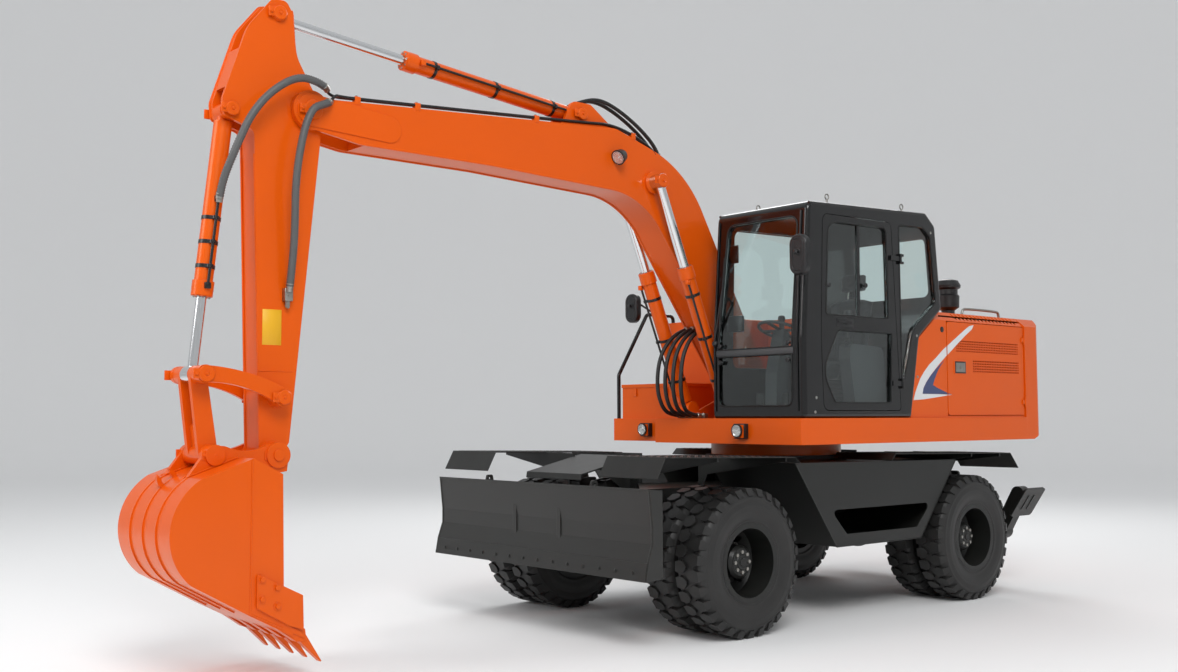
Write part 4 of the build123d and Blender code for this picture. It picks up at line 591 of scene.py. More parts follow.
def bolt_heads(name, places, body, size=0.012, material=plated_steel):
    """Hexagon heads on washers. Each place is a point and the way that its head faces."""
    data = bpy.data.meshes.new(name)
    data.from_pydata([tuple(point) for point, facing in places], [], [])
    attribute = data.attributes.new("aim", "FLOAT_VECTOR", "POINT")
    attribute.data.foreach_set("vector", [value for point, facing in places for value in facing])
    sizes = {
        "Head radius": size, "Head height": 0.75 * size, "Washer radius": 1.5 * size,
        "Washer height": 0.22 * size,
    }
    return grow(name, data, heads_tree, sizes, body, material, 25)


def add_bar(shape, start, end, radius, sides, chamfer=0.0):
    """A round bar between two points. Its ends are chamfered where a chamfer is given."""
    way = Vector(end) - Vector(start)
    length = way.length
    profile = [(0, 0), (radius, 0), (radius, length), (0, length)]
    if chamfer:
        profile = [(0, 0), (radius - chamfer, 0), (radius, chamfer), (radius, length - chamfer),
                   (radius - chamfer, length), (0, length)]
    add_turned(shape, start, way, profile, sides)


for axle, axle_x in (("front", front_axle_x), ("rear", rear_axle_x)):
    for side, sign in sides:
        nuts = []
        # How many, the radius of their ring, and the Y of their seat
        for count, ring, y in ((10, 0.166, 0.967), (8, 0.072, 1.150)):
            for k in range(count):
                turn = 2 * pi * k / count
                place = spot(axle_x + ring * cos(turn), sign * y, tyre_radius + ring * sin(turn))
                nuts.append((place, (0, sign, 0)))
        bolt_heads(f"wheel_nuts_{axle}_{side}", nuts, f"wheel_{axle}_{side}", 0.014)
        hub_details = bmesh.new()
        hub = spot(axle_x, sign * 1.149, tyre_radius)
        add_turned(hub_details, hub, (0, sign, 0), (
            (0.094, 0), (0.094, 0.004), (0.088, 0.006), (0.055, 0.006), (0.050, 0.012), (0.030, 0.013),
            (0.028, 0.020), (0.014, 0.021), (0, 0.021)), 40)
        for ring_y in twin_y:
            add_bar(hub_details, spot(axle_x + 0.225, sign * (ring_y + 0.02), tyre_radius),
                    spot(axle_x + 0.205, sign * (ring_y + 0.075), tyre_radius), 0.006, 10)
        make_piece(f"hub_cover_{axle}_{side}", hub_details, f"wheel_{axle}_{side}", grey_enamel)


# Chassis: steps and walkways of chequer plate, pressed with raised bars, and pins held by keeper plates.
# The flank boxes are welded, and their beads are left as laid under the paint.
bars_tree, nodes, links, given, result = new_tree(
    "rows_of_bars", ("Length", "Float", 1.0), ("Width", "Float", 0.5), ("Columns", "Int", 9),
    ("Rows", "Int", 5), ("Bar size", "Vector", (0.02, 0.006, 0.002)), ("Bar turn", "Float", 0.785),
    ("Turn between", "Float", 1.571), ("Square", "Bool", False), ("Place", "Vector", (0, 0, 0)),
    ("Plane turn", "Vector", (0, 0, 0)))
sheet = nodes.new("GeometryNodeMeshGrid")
links.new(given.outputs["Length"], sheet.inputs["Size X"])
links.new(given.outputs["Width"], sheet.inputs["Size Y"])
links.new(given.outputs["Columns"], sheet.inputs["Vertices X"])
links.new(given.outputs["Rows"], sheet.inputs["Vertices Y"])
round_bar = nodes.new("GeometryNodeMeshCylinder")
round_bar.inputs["Vertices"].default_value = 8
round_bar.inputs["Radius"].default_value = 0.5
round_bar.inputs["Depth"].default_value = 1
square_bar = nodes.new("GeometryNodeMeshCube")
either = nodes.new("GeometryNodeSwitch")
either.input_type = "GEOMETRY"
links.new(given.outputs["Square"], either.inputs["Switch"])
links.new(round_bar.outputs["Mesh"], either.inputs["False"])
links.new(square_bar.outputs["Mesh"], either.inputs["True"])
number = nodes.new("GeometryNodeInputIndex")
odd = nodes.new("ShaderNodeMath")
odd.operation = "MODULO"
odd.inputs[1].default_value = 2
links.new(number.outputs["Index"], odd.inputs[0])
bar_angle = nodes.new("ShaderNodeMath")
bar_angle.operation = "MULTIPLY_ADD"
links.new(odd.outputs["Value"], bar_angle.inputs[0])
links.new(given.outputs["Turn between"], bar_angle.inputs[1])
links.new(given.outputs["Bar turn"], bar_angle.inputs[2])
bar_turn = nodes.new("ShaderNodeCombineXYZ")
links.new(bar_angle.outputs["Value"], bar_turn.inputs["Z"])
copies = nodes.new("GeometryNodeInstanceOnPoints")
links.new(sheet.outputs["Mesh"], copies.inputs["Points"])
links.new(either.outputs["Output"], copies.inputs["Instance"])
links.new(bar_turn.outputs["Vector"], copies.inputs["Rotation"])
links.new(given.outputs["Bar size"], copies.inputs["Scale"])
moved = nodes.new("GeometryNodeTransform")
links.new(copies.outputs["Instances"], moved.inputs["Geometry"])
links.new(given.outputs["Place"], moved.inputs["Translation"])
links.new(given.outputs["Plane turn"], moved.inputs["Rotation"])
end_tree(nodes, links, given, result, moved.outputs["Geometry"])


chequer_pitch = 0.075


def chequer_plate(name, low, high, slope, body, material):
    """Raised bars on a plate between two corners. slope is the plate's rise in Z along X, in radians."""
    length, width = high[0] - low[0], high[1] - low[1]
    middle = spot((low[0] + high[0]) / 2, (low[1] + high[1]) / 2, (low[2] + high[2]) / 2)
    columns, rows = 2 * round(length / chequer_pitch) + 1, 2 * round(width / chequer_pitch) + 1
    return grow(name, bpy.data.meshes.new(name), bars_tree, {
        "Length": length, "Width": width, "Columns": columns, "Rows": rows, "Bar size": (0.030, 0.009, 0.004),
        "Place": middle, "Plane turn": (0, -slope, 0)}, body, material, 25)


treads = (
    # name, its ends in X, its edges in Y, Z at its ends, slope
    ("front_fender_tread", (1.25, 2.50), (0.70, 1.21), (1.262, 1.290), 0.0211),
    ("rear_fender_tread", (-1.65, -0.05), (0.70, 1.21), (1.2325, 1.2612), 0.0179),
    ("step_tread", (-0.34, 0.62), (0.80, 1.15), (0.579, 0.579), 0),
    ("shelf_tread", (-0.50, 0.70), (0.80, 1.15), (0.920, 0.920), 0),
)
for side, sign in sides:
    for name, ends, edges, heights, slope in treads:
        low_y, high_y = sorted(sign * y for y in edges)
        chequer_plate(f"{name}_{side}", (ends[0], low_y, heights[0]), (ends[1], high_y, heights[1]), slope,
                      "undercarriage", grey_enamel)

bead_tree, nodes, links, given, result = new_tree(
    "ribbed_run", ("Radius", "Float", 0.005), ("Pitch", "Float", 0.006), ("Swell", "Float", 0.35),
    ("Sides", "Int", 6))
run = nodes.new("GeometryNodeMeshToCurve")
links.new(given.outputs["Start"], run.inputs["Mesh"])
even_run = nodes.new("GeometryNodeResampleCurve")
even_run.mode = "LENGTH"
links.new(run.outputs["Curve"], even_run.inputs["Curve"])
links.new(given.outputs["Pitch"], even_run.inputs["Length"])
number = nodes.new("GeometryNodeInputIndex")
odd = nodes.new("ShaderNodeMath")
odd.operation = "MODULO"
odd.inputs[1].default_value = 2
links.new(number.outputs["Index"], odd.inputs[0])
swelling = nodes.new("ShaderNodeMath")
swelling.operation = "MULTIPLY_ADD"
swelling.inputs[2].default_value = 1
links.new(odd.outputs["Value"], swelling.inputs[0])
links.new(given.outputs["Swell"], swelling.inputs[1])
section = nodes.new("GeometryNodeCurvePrimitiveCircle")
links.new(given.outputs["Sides"], section.inputs["Resolution"])
links.new(given.outputs["Radius"], section.inputs["Radius"])
tube = nodes.new("GeometryNodeCurveToMesh")
tube.inputs["Fill Caps"].default_value = True
links.new(even_run.outputs["Curve"], tube.inputs["Curve"])
links.new(section.outputs["Curve"], tube.inputs["Profile Curve"])
if "Scale" in tube.inputs:
    links.new(swelling.outputs["Value"], tube.inputs["Scale"])
else:
    ripple = nodes.new("GeometryNodeSetCurveRadius")
    links.new(even_run.outputs["Curve"], ripple.inputs["Curve"])
    links.new(swelling.outputs["Value"], ripple.inputs["Radius"])
    links.new(ripple.outputs["Curve"], tube.inputs["Curve"])
end_tree(nodes, links, given, result, tube.outputs["Mesh"])


def ribbed_runs(name, runs, radius, pitch, swell, body, material, corners=6):
    """Ribbed tubes along lists of points: weld beads, bellows and spiral wrap."""
    data = bpy.data.meshes.new(name)
    points = [tuple(point) for line in runs for point in line]
    edges, first = [], 0
    for line in runs:
        edges += [(first + k, first + k + 1) for k in range(len(line) - 1)]
        first += len(line)
    data.from_pydata(points, edges, [])
    return grow(name, data, bead_tree, {"Radius": radius, "Pitch": pitch, "Swell": swell, "Sides": corners},
                body, material, 70)


flank_outline = ((1.150, 1.213), (0.680, 0.565), (-0.410, 0.565), (-0.935, 1.190))
chassis_beads = []
for sign in (1, -1):
    chassis_beads.append([spot(x, sign * 1.190, z) for x, z in flank_outline])
    chassis_beads.append([spot(-1.95, sign * 0.330, 0.705), spot(2.03, sign * 0.330, 0.705)])
    chassis_beads.append([spot(x, sign * 0.331, 1.010) for x in (1.15, 1.95)])
ribbed_runs("chassis_weld_beads", chassis_beads, 0.0042, 0.007, 0.3, "undercarriage", grey_enamel,
            5)


def add_block(shape, low, high, bevel=0.002):
    """A block between two corners, its edges rounded over."""
    middle = (Vector(low) + Vector(high)) / 2
    size = [abs(b - a) for a, b in zip(low, high)]
    place = Matrix.Translation(middle) @ Matrix.Diagonal((*size, 1))
    made = bmesh.ops.create_cube(shape, size=1, matrix=place)
    edges = list({edge for vert in made["verts"] for edge in vert.link_edges})
    if bevel:
        bmesh.ops.bevel(shape, geom=edges, offset=bevel, segments=2, affect="EDGES", profile=0.5)


# The slew ring's bolts: sixty high tensile screws below the flange, into the ring.
ring_bolt_count, ring_bolt_circle = 60, 0.574
ring_bolts = []
for k in range(ring_bolt_count):
    turn = 2 * pi * k / ring_bolt_count
    place = spot(ring_bolt_circle * cos(turn), ring_bolt_circle * sin(turn), 1.130)
    ring_bolts.append((place, (0, 0, -1)))
bolt_heads("slew_ring_bolts", ring_bolts, "undercarriage", 0.013, cast_iron)

# Blade: the wear strip is bolted along its foot, and rows of ribs stiffen its back.
# The strip's plough bolts show as heads a little proud of the face.
strip_bolts = []
face_normal = Vector((0.98, 0, 0.19)).normalized()
for k in range(14):
    strip_bolts.append((spot(2.7055, -1.105 + 0.17 * k, 0.530), face_normal))
bolt_heads("blade_strip_bolts", strip_bolts, "dozer_blade", 0.011, blade_enamel)
blade_edge = ((2.673, 1.08), (2.646, 0.83), (2.646, 0.72), (2.688, 0.60))
blade_beads = [[spot(2.676, -1.235, 1.079), spot(2.676, 1.235, 1.079)]]
for y in (-1.229, 1.229):
    blade_beads.append([spot(x + 0.001, y, z) for x, z in blade_edge])
ribbed_runs("blade_weld_beads", blade_beads, 0.0045, 0.007, 0.3, "dozer_blade", blade_enamel, 5)


# Pins: each has a round head with a chamfer, a keeper plate beside it and a bolt through the plate.
# The heads are sprayed with the steel that they lie in, and have a grease nipple at their middle.
pins = (
    # body, X, Z, the Y that its head starts from, radius, which finish
    ("boom", 4.580, 3.522, 0.170, 0.062, "upper"),
    ("boom", 2.285, 3.865, 0.110, 0.046, "upper"),
    ("boom", 1.600, 3.410, 0.2747, 0.055, "upper"),
    ("upper", 0.330, 1.750, 0.215, 0.062, "upper"),
    ("upper", 0.860, 1.630, 0.289, 0.050, "upper"),
    ("arm", 4.796, 4.116, 0.125, 0.046, "upper"),
    ("arm", 5.101, 3.456, 0.125, 0.044, "upper"),
    ("arm", 4.779, 1.688, 0.216, 0.046, "upper"),
    ("guide_links", 5.280, 1.825, 0.216, 0.050, "upper"),
    ("bucket", 4.807, 1.334, 0.190, 0.054, "upper"),
    ("bucket", 5.210, 1.343, 0.190, 0.050, "upper"),
    ("undercarriage", 2.062, 0.420, 0.332, 0.038, "lower"),
    ("undercarriage", 2.062, 0.655, 0.332, 0.038, "lower"),
    ("dozer_blade", 2.4716, 0.7068, 0.332, 0.038, "lower"),
    ("dozer_blade", 2.4716, 0.9418, 0.332, 0.038, "lower"),
)
pin_bodies = list(dict.fromkeys((body, finish) for body, x, z, y, radius, finish in pins))
for pin_body, finish in pin_bodies:
    heads = bmesh.new()
    keeper_bolts = []
    for body, x, z, y, radius, kind in pins:
        if body != pin_body:
            continue
        for side, sign in sides:
            add_turned(heads, spot(x, sign * (y - 0.004), z), (0, sign, 0), (
                (0, 0), (radius, 0), (radius, 0.010), (radius - 0.004, 0.014), (0.38 * radius, 0.014),
                (0.34 * radius, 0.012), (0.2 * radius, 0.012), (0.2 * radius, 0.019), (0, 0.021)), 32)
            keeper_x = x + 1.05 * radius
            low, high = sorted((sign * (y - 0.003), sign * (y + 0.005)))
            add_block(heads, spot(keeper_x - 0.014, low, z - 0.030),
                      spot(keeper_x + 0.030, high, z + 0.030), 0.002)
            keeper_bolts.append((spot(keeper_x + 0.012, sign * (y + 0.005), z), (0, sign, 0)))
    colour = orange_enamel if finish == "upper" else blade_enamel
    make_piece(f"pin_heads_{pin_body}", heads, pin_body, colour)
    bolt_heads(f"keeper_bolts_{pin_body}", keeper_bolts, pin_body, 0.010, colour)


# Work lights: a round lamp in a moulded housing at each front corner of the deck, and one on the boom.
# Each has a pressed reflector behind a clear lens, held by a rubber bezel.
lens_glass, nodes, links, shader = new_material("lens_glass")
shader.inputs["Base Color"].default_value = (0.95, 0.96, 0.95, 1)
shader.inputs["Transmission Weight"].default_value = 0.8
shader.inputs["IOR"].default_value = 1.49
flutes = nodes.new("ShaderNodeTexWave")
flutes.inputs["Scale"].default_value = 60
place = nodes.new("ShaderNodeTexCoord")
links.new(place.outputs["Object"], flutes.inputs["Vector"])
flute_bump = nodes.new("ShaderNodeBump")
flute_bump.inputs["Strength"].default_value = 0.4
flute_bump.inputs["Distance"].default_value = 0.002
links.new(flutes.outputs["Fac"], flute_bump.inputs["Height"])
links.new(flute_bump.outputs["Normal"], shader.inputs["Normal"])
shader.inputs["Roughness"].default_value = 0.06

mirror_glass, nodes, links, shader = new_material("mirror_glass")
shader.inputs["Metallic"].default_value = 1
shader.inputs["Base Color"].default_value = (0.86, 0.88, 0.89, 1)
spots = nodes.new("ShaderNodeTexNoise")
spots.inputs["Scale"].default_value = 30
place = nodes.new("ShaderNodeTexCoord")
links.new(place.outputs["Object"], spots.inputs["Vector"])
spot_sheen = nodes.new("ShaderNodeMapRange")
spot_sheen.inputs["To Min"].default_value = 0.01
spot_sheen.inputs["To Max"].default_value = 0.05
links.new(spots.outputs["Fac"], spot_sheen.inputs["Value"])
links.new(spot_sheen.outputs["Result"], shader.inputs["Roughness"])

rubber = moulded_plastic("seal_rubber", (0.008, 0.008, 0.008), 0.6, 180, 0.3)
work_lights = (
    # name, body, the middle of its front, the way it faces, radius, depth of its housing
    ("left", "upper", spot(1.212, 0.660, 1.450), (1, 0, -0.05), 0.046, 0.05),
    ("right", "upper", spot(0.852, -0.800, 1.450), (1, 0, -0.05), 0.046, 0.05),
    ("boom", "boom", spot(2.020, 0.212, 3.545), (0.85, 0.1, -0.5), 0.052, 0.075),
)
for name, body, front, way, radius, depth in work_lights:
    way = Vector(way).normalized()
    housing = bmesh.new()
    add_turned(housing, front - depth * way, way, (
        (0, 0), (0.7 * radius, 0), (0.95 * radius, 0.25 * depth), (1.12 * radius, depth - 0.014),
        (1.16 * radius, depth - 0.010), (1.16 * radius, depth), (1.0 * radius, depth),
        (1.0 * radius, depth - 0.012), (0, depth - 0.012)), 36)
    if body == "boom":
        add_block(housing, spot(1.930, 0.148, 3.555), spot(1.985, 0.156, 3.615), 0.002)
        add_bar(housing, spot(1.958, 0.154, 3.585), spot(1.958, 0.205, 3.585), 0.010, 12)
    else:
        low = front - Vector((0.085, 0.060, 0.062))
        high = front + Vector((-0.030, 0.060, 0.055))
        add_block(housing, low, high, 0.006)
    make_piece(f"work_light_{name}", housing, body, black_plastic)
    bowl = bmesh.new()
    add_turned(bowl, front - 0.0115 * way, way, (
        (0, 0.0004), (0.30 * radius, 0.0006), (0.65 * radius, 0.003), (0.97 * radius, 0.008),
        (0.97 * radius, 0.0095), (0.5 * radius, 0.004), (0.14 * radius, 0.003), (0.12 * radius, 0.009),
        (0, 0.010)), 36)
    make_piece(f"work_light_bowl_{name}", bowl, body, mirror_glass)
    lens = bmesh.new()
    add_turned(lens, front, way, (
        (0, -0.0010), (0.985 * radius, -0.0018), (0.985 * radius, 0.0012), (0.7 * radius, 0.0035),
        (0, 0.0045)), 36)
    make_piece(f"work_light_lens_{name}", lens, body, lens_glass)


# Engine hood and doors: slanted louvre bars behind the slots, a seam rubber, locks, and the painted stripe.
# The stripe is a white band with a blue wedge, sprayed over a mask on the panel and on the door.
def slat_rows(name, body, sign, low_x, high_x, low_z, high_z):
    """Slanted bars across the five slots of one grille, pressed with its sheet."""
    columns = round((high_x - low_x) / 0.0255)
    middle = spot((low_x + high_x) / 2, sign * 1.2155, (low_z + high_z) / 2 - 0.009)
    grow(name, bpy.data.meshes.new(name), bars_tree, {
        "Length": high_x - low_x, "Width": high_z - low_z, "Columns": columns, "Rows": 5,
        "Bar size": (0.008, 0.034, 0.008), "Bar turn": -0.50, "Turn between": 0.0, "Square": True,
        "Place": middle, "Plane turn": (pi / 2, 0, 0)}, body, orange_enamel, 25)


stripe_white = enamel("stripe_white", (0.74, 0.75, 0.76), 0.3, 0.4)
stripe_blue = enamel("stripe_blue", (0.035, 0.055, 0.16), 0.3, 0.4)
white_band = (
    (-1.132, 2.331), (-1.060, 2.296), (-0.850, 2.180), (-0.735, 2.114), (-0.626, 2.040), (-0.535, 1.985),
    (-0.461, 1.925), (-0.405, 1.868), (-0.360, 1.800), (-0.328, 1.745), (-0.304, 1.688), (-0.450, 1.696),
    (-0.614, 1.712), (-0.740, 1.725), (-0.852, 1.737), (-0.640, 1.741), (-0.431, 1.741), (-0.446, 1.790),
    (-0.488, 1.840), (-0.550, 1.896), (-0.623, 1.951), (-0.700, 2.008), (-0.784, 2.065), (-0.930, 2.160),
    (-1.060, 2.242), (-1.169, 2.304), (-1.199, 2.343),
)
blue_wedge = (
    (-0.758, 2.029), (-0.705, 1.985), (-0.655, 1.935), (-0.612, 1.872), (-0.582, 1.816), (-0.640, 1.794),
    (-0.712, 1.774), (-0.808, 1.747), (-0.852, 1.739), (-0.640, 1.7415), (-0.431, 1.7415), (-0.446, 1.788),
    (-0.488, 1.838), (-0.550, 1.893), (-0.623, 1.948), (-0.690, 1.990),
)


def painted_area(name, outline, sign, y, low_x, high_x, body, material):
    """The part of a painted outline that lies on one panel."""
    area = bmesh.new()
    area.faces.new([area.verts.new(spot(x, sign * y, z)) for x, z in outline])
    area.normal_update()
    bmesh.ops.triangulate(area, faces=area.faces)
    for edge_x, way in ((low_x, -1), (high_x, 1)):
        bmesh.ops.bisect_plane(area, geom=area.verts[:] + area.edges[:] + area.faces[:], dist=1e-6,
                               plane_co=spot(edge_x, 0, 0), plane_no=(way, 0, 0), clear_outer=True)
    film = bmesh.ops.extrude_face_region(area, geom=area.faces[:])
    lifted = [part for part in film["geom"] if isinstance(part, bmesh.types.BMVert)]
    bmesh.ops.translate(area, verts=lifted, vec=(0, sign * 0.0006, 0))
    make_piece(name, area, body, material, 25)


for side, sign in sides:
    door = f"engine_door_{side}"
    slat_rows(f"upper_grille_bars_{side}", door, sign, -1.888, -0.932, 2.115, 2.199)
    slat_rows(f"lower_grille_bars_{side}", door, sign, -1.898, -1.182, 1.946, 2.034)
    panel_front = -0.27 if sign > 0 else -0.372
    for colour, outline, material in (("white", white_band, stripe_white), ("blue", blue_wedge, stripe_blue)):
        painted_area(f"stripe_{colour}_panel_{side}", outline, sign, 1.2201, -0.789, panel_front, "upper",
                     material)
        painted_area(f"stripe_{colour}_door_{side}", outline, sign, 1.2241, -1.30, -0.796, door, material)
    # Painted shade: a dark sheet behind the slots of both grilles stands for the dark inside the engine bay.
    backing = bmesh.new()
    for low_x, high_x, low_z, high_z in ((-1.915, -0.905, 2.095, 2.220), (-1.925, -1.155, 1.925, 2.055)):
        add_block(backing, spot(low_x, sign * 1.184, low_z), spot(high_x, sign * 1.189, high_z), 0.001)
    make_piece(f"grille_painted_shade_sheet_{side}", backing, door, rubber)
    latch = bmesh.new()
    add_block(latch, spot(-1.046, sign * 1.228, 1.932), spot(-0.908, sign * 1.2325, 2.010), 0.0015)
    add_turned(latch, spot(-0.977, sign * 1.231, 1.971), (0, sign, 0), (
        (0.016, 0), (0.016, 0.006), (0.012, 0.008), (0.004, 0.008), (0.004, 0.006), (0, 0.006)), 24)
    make_piece(f"door_latch_{side}", latch, door, plated_steel)
    cups = bmesh.new()
    add_block(cups, spot(-1.058, sign * 1.2275, 1.920), spot(-0.897, sign * 1.2300, 2.022), 0.001)
    # Painted shade: the black cup is a thin dark disc put where the hood has an oval hole that is dark inside.
    add_turned(cups, spot(-0.727, sign * 1.2195, 2.285), (0, sign, 0), (
        (0.024, 0), (0.024, 0.003), (0.018, 0.005), (0, 0.004)), 24)
    make_piece(f"hood_painted_hole_shade_and_latch_rim_{side}", cups, "upper", black_plastic)
panel_lock = bmesh.new()
add_turned(panel_lock, spot(-0.366, 1.2195, 1.880), (0, 1, 0), (
    (0.011, 0), (0.011, 0.004), (0.008, 0.006), (0, 0.006)), 20)
make_piece("hood_panel_lock", panel_lock, "upper", plated_steel)


def tube_along(name, routes, radius, body, material, closed=False, smooth=True, turns=10):
    """Round tubes along routes of points: smooth ones bend like a hose, the others turn at each point."""
    line = bpy.data.curves.new(name, "CURVE")
    line.dimensions = "3D"
    line.bevel_depth = radius
    line.bevel_resolution = 3
    line.resolution_u = turns
    line.use_fill_caps = True
    for route in routes:
        spline = line.splines.new("NURBS" if smooth else "POLY")
        spline.points.add(len(route) - 1)
        for point, place in zip(spline.points, route):
            point.co = (*place, 1)
        spline.use_cyclic_u = closed
        if smooth:
            spline.order_u = 3
            spline.use_endpoint_u = not closed
    guide = bpy.data.objects.new(name, line)
    bpy.context.scene.collection.objects.link(guide)
    data = bpy.data.meshes.new_from_object(guide.evaluated_get(bpy.context.evaluated_depsgraph_get()))
    bpy.data.objects.remove(guide)
    piece = bpy.data.objects.new(name, data)
    bpy.context.scene.collection.objects.link(piece)
    return finish_piece(piece, body, material, 50)


tube_along("hood_rail", [[
    spot(-1.40, 0.98, 2.435), spot(-1.40, 0.98, 2.50), spot(-1.45, 0.98, 2.515), spot(-1.95, 0.98, 2.515),
    spot(-2.00, 0.98, 2.50), spot(-2.00, 0.98, 2.435)]], 0.012, "upper", plated_steel)
hood_bolts = []
for k in range(5):
    for sign in (1, -1):
        hood_bolts.append((spot(-2.15, sign * (0.20 + 0.16 * k), 2.440), (0, 0, 1)))
        hood_bolts.append((spot(-0.95, sign * (0.20 + 0.16 * k), 2.440), (0, 0, 1)))
bolt_heads("hood_bolts", hood_bolts, "upper", 0.009, black_plastic)
seams = bmesh.new()
add_block(seams, spot(-1.990, -1.140, 2.4385), spot(-1.984, 1.140, 2.4415), 0)
add_block(seams, spot(-0.790, -1.140, 2.4385), spot(-0.784, 0.230, 2.4415), 0)
make_piece("hood_seams", seams, "upper", rubber)

# Counterweight: a casting with two lifting plugs on top and round rear lamps let into its back.
# The lamps are plain red and amber lenses in rubber cups.
red_lens = moulded_plastic("red_lens", (0.45, 0.006, 0.004), 0.15, 90, 0.3)
amber_lens = moulded_plastic("amber_lens", (0.75, 0.22, 0.004), 0.15, 90, 0.3)
cups = bmesh.new()
for sign in (1, -1):
    add_turned(cups, spot(-2.20, sign * 0.62, 2.439), (0, 0, 1), (
        (0.052, 0), (0.052, 0.006), (0.044, 0.010), (0.016, 0.010), (0.014, 0.004), (0, 0.004)), 32)
make_piece("lifting_plugs", cups, "upper", black_plastic)
for colour, material, y in (("red", red_lens, 0.880), ("amber", amber_lens, 0.760)):
    lamps, cups = bmesh.new(), bmesh.new()
    for sign in (1, -1):
        back_x = -2.420 + 0.120 * (y / 1.1) ** 2
        place, way = spot(back_x + 0.004, sign * y, 1.640), Vector((-1, sign * 0.18, 0))
        add_turned(cups, place, way, ((0.054, 0), (0.054, 0.012), (0.046, 0.018), (0, 0.018)), 32)
        add_turned(lamps, place, way, ((0.044, 0.017), (0.044, 0.024), (0.036, 0.030), (0, 0.033)), 32)
    make_piece(f"rear_lamp_cups_{colour}", cups, "upper", rubber)
    make_piece(f"rear_lamps_{colour}", lamps, "upper", material)


# Cab: a welded frame of black tube and sheet, with glued glass in rubber, a wiper and ring eyes on its roof.
# Beads run up its front pillars, and a gutter lies along each side of the roof.
def front_x(z):
    """Where the cab's front face is at a height."""
    return 1.098 if z < 2.12 else 1.098 - 0.0731 * (z - 2.15)


def rounded(points, steps=6):
    """A closed outline with its corners rounded. Each point is two numbers and the corner's radius."""
    outline = []
    for k, (x, z, radius) in enumerate(points):
        corner = Vector((x, z))
        before = Vector(points[k - 1][:2]) - corner
        after = Vector(points[(k + 1) % len(points)][:2]) - corner
        angle = before.angle(after) / 2
        reach = min(radius / max(sin(angle) / cos(angle), 1e-3), 0.48 * before.length, 0.48 * after.length)
        start, end = corner + reach * before.normalized(), corner + reach * after.normalized()
        for step in range(steps + 1):
            t = step / steps
            outline.append((1 - t) ** 2 * start + 2 * t * (1 - t) * corner + t ** 2 * end)
    return outline


windscreen_panes = (
    ((0.370, 1.640, 0.060), (1.128, 1.640, 0.060), (1.128, 2.030, 0.012), (0.370, 2.030, 0.012)),
    ((0.370, 2.085, 0.012), (1.128, 2.085, 0.012), (1.150, 3.085, 0.090), (0.430, 3.085, 0.090)),
)
side_panes = (
    # body, Y of the rubber, outline in X and Z
    ("upper", 1.2455, (
        (-0.109, 3.110, 0.040), (-0.440, 3.124, 0.070), (-0.545, 3.050, 0.060), (-0.610, 2.500, 0.070),
        (-0.285, 2.270, 0.110), (-0.160, 1.860, 0.016), (-0.118, 1.860, 0.010))),
    ("upper", 0.3005, (
        (0.900, 1.950, 0.060), (0.860, 3.080, 0.080), (-0.010, 3.100, 0.080), (-0.080, 2.300, 0.120),
        (0.100, 1.950, 0.060))),
    ("cab_door", 1.2455, (
        (0.832, 2.335, 0.030), (0.790, 3.052, 0.120), (0.060, 3.070, 0.060), (0.042, 2.335, 0.030))),
    ("cab_door", 1.2455, (
        (0.690, 2.220, 0.040), (0.885, 1.900, 0.260), (0.735, 1.664, 0.050), (0.030, 1.664, 0.020),
        (0.006, 2.222, 0.020))),
)
front_rubbers = [[spot(front_x(z) + 0.001, y, z) for y, z in rounded(pane)] for pane in windscreen_panes]
tube_along("windscreen_rubber", front_rubbers, 0.007, "upper", rubber, closed=True,
           smooth=False)
for body in ("upper", "cab_door"):
    lines = []
    for owner, y, outline in side_panes:
        if owner == body:
            lines.append([spot(x, y, z) for x, z in rounded(outline)])
    tube_along(f"window_rubber_{body}", lines, 0.006, body, rubber, closed=True, smooth=False)
rear_pane = ((0.400, 2.560, 0.060), (1.150, 2.560, 0.060), (1.150, 3.060, 0.060), (0.400, 3.060, 0.060))
rear_rubber = [[spot(-0.702 - 0.101 * (2.446 - z) - 0.001, y, z) for y, z in rounded(rear_pane)]]
tube_along("rear_window_rubber", rear_rubber, 0.007, "upper", rubber, closed=True,
           smooth=False)
pillar_heights = (1.60, 1.90, 2.10, 2.20, 2.60, 3.12)
cab_beads = [[spot(front_x(z) + 0.004, y, z) for z in pillar_heights] for y in (1.182, 0.338)]
for y in (1.232, 0.314):
    cab_beads.append([spot(1.000, y, 3.176), spot(0.3, y, 3.204), spot(-0.490, y, 3.232)])
tube_along("cab_beads", cab_beads, 0.011, "upper", black_enamel, smooth=False)
screen_bar = bmesh.new()
add_block(screen_bar, spot(1.088, 0.352, 2.034), spot(1.106, 1.146, 2.081), 0.006)
make_piece("windscreen_bar", screen_bar, "upper", grey_plastic)
screen_knobs = bmesh.new()
for y, z in ((0.400, 1.985), (1.098, 1.985), (0.400, 2.115), (1.098, 2.115)):
    add_turned(screen_knobs, spot(1.082, y, z), (1, 0, 0), (
        (0.010, 0), (0.010, 0.020), (0.018, 0.022), (0.019, 0.032), (0.014, 0.037), (0, 0.038)), 24)
make_piece("windscreen_knobs", screen_knobs, "upper", black_plastic)
wiper = bmesh.new()
add_turned(wiper, spot(1.096, 0.346, 2.140), (1, 0, 0), (
    (0, 0), (0.024, 0), (0.024, 0.022), (0.016, 0.030), (0, 0.031)), 24)
add_bar(wiper, spot(1.118, 0.346, 2.140), spot(1.080, 0.400, 2.560), 0.0055, 10)
add_block(wiper, spot(1.074, 0.388, 2.300), spot(1.082, 0.404, 2.310), 0.001)
add_bar(wiper, spot(1.094, 0.385, 2.300), spot(1.062, 0.418, 2.830), 0.0060, 8)
make_piece("wiper", wiper, "upper", black_plastic)
eyes = bmesh.new()
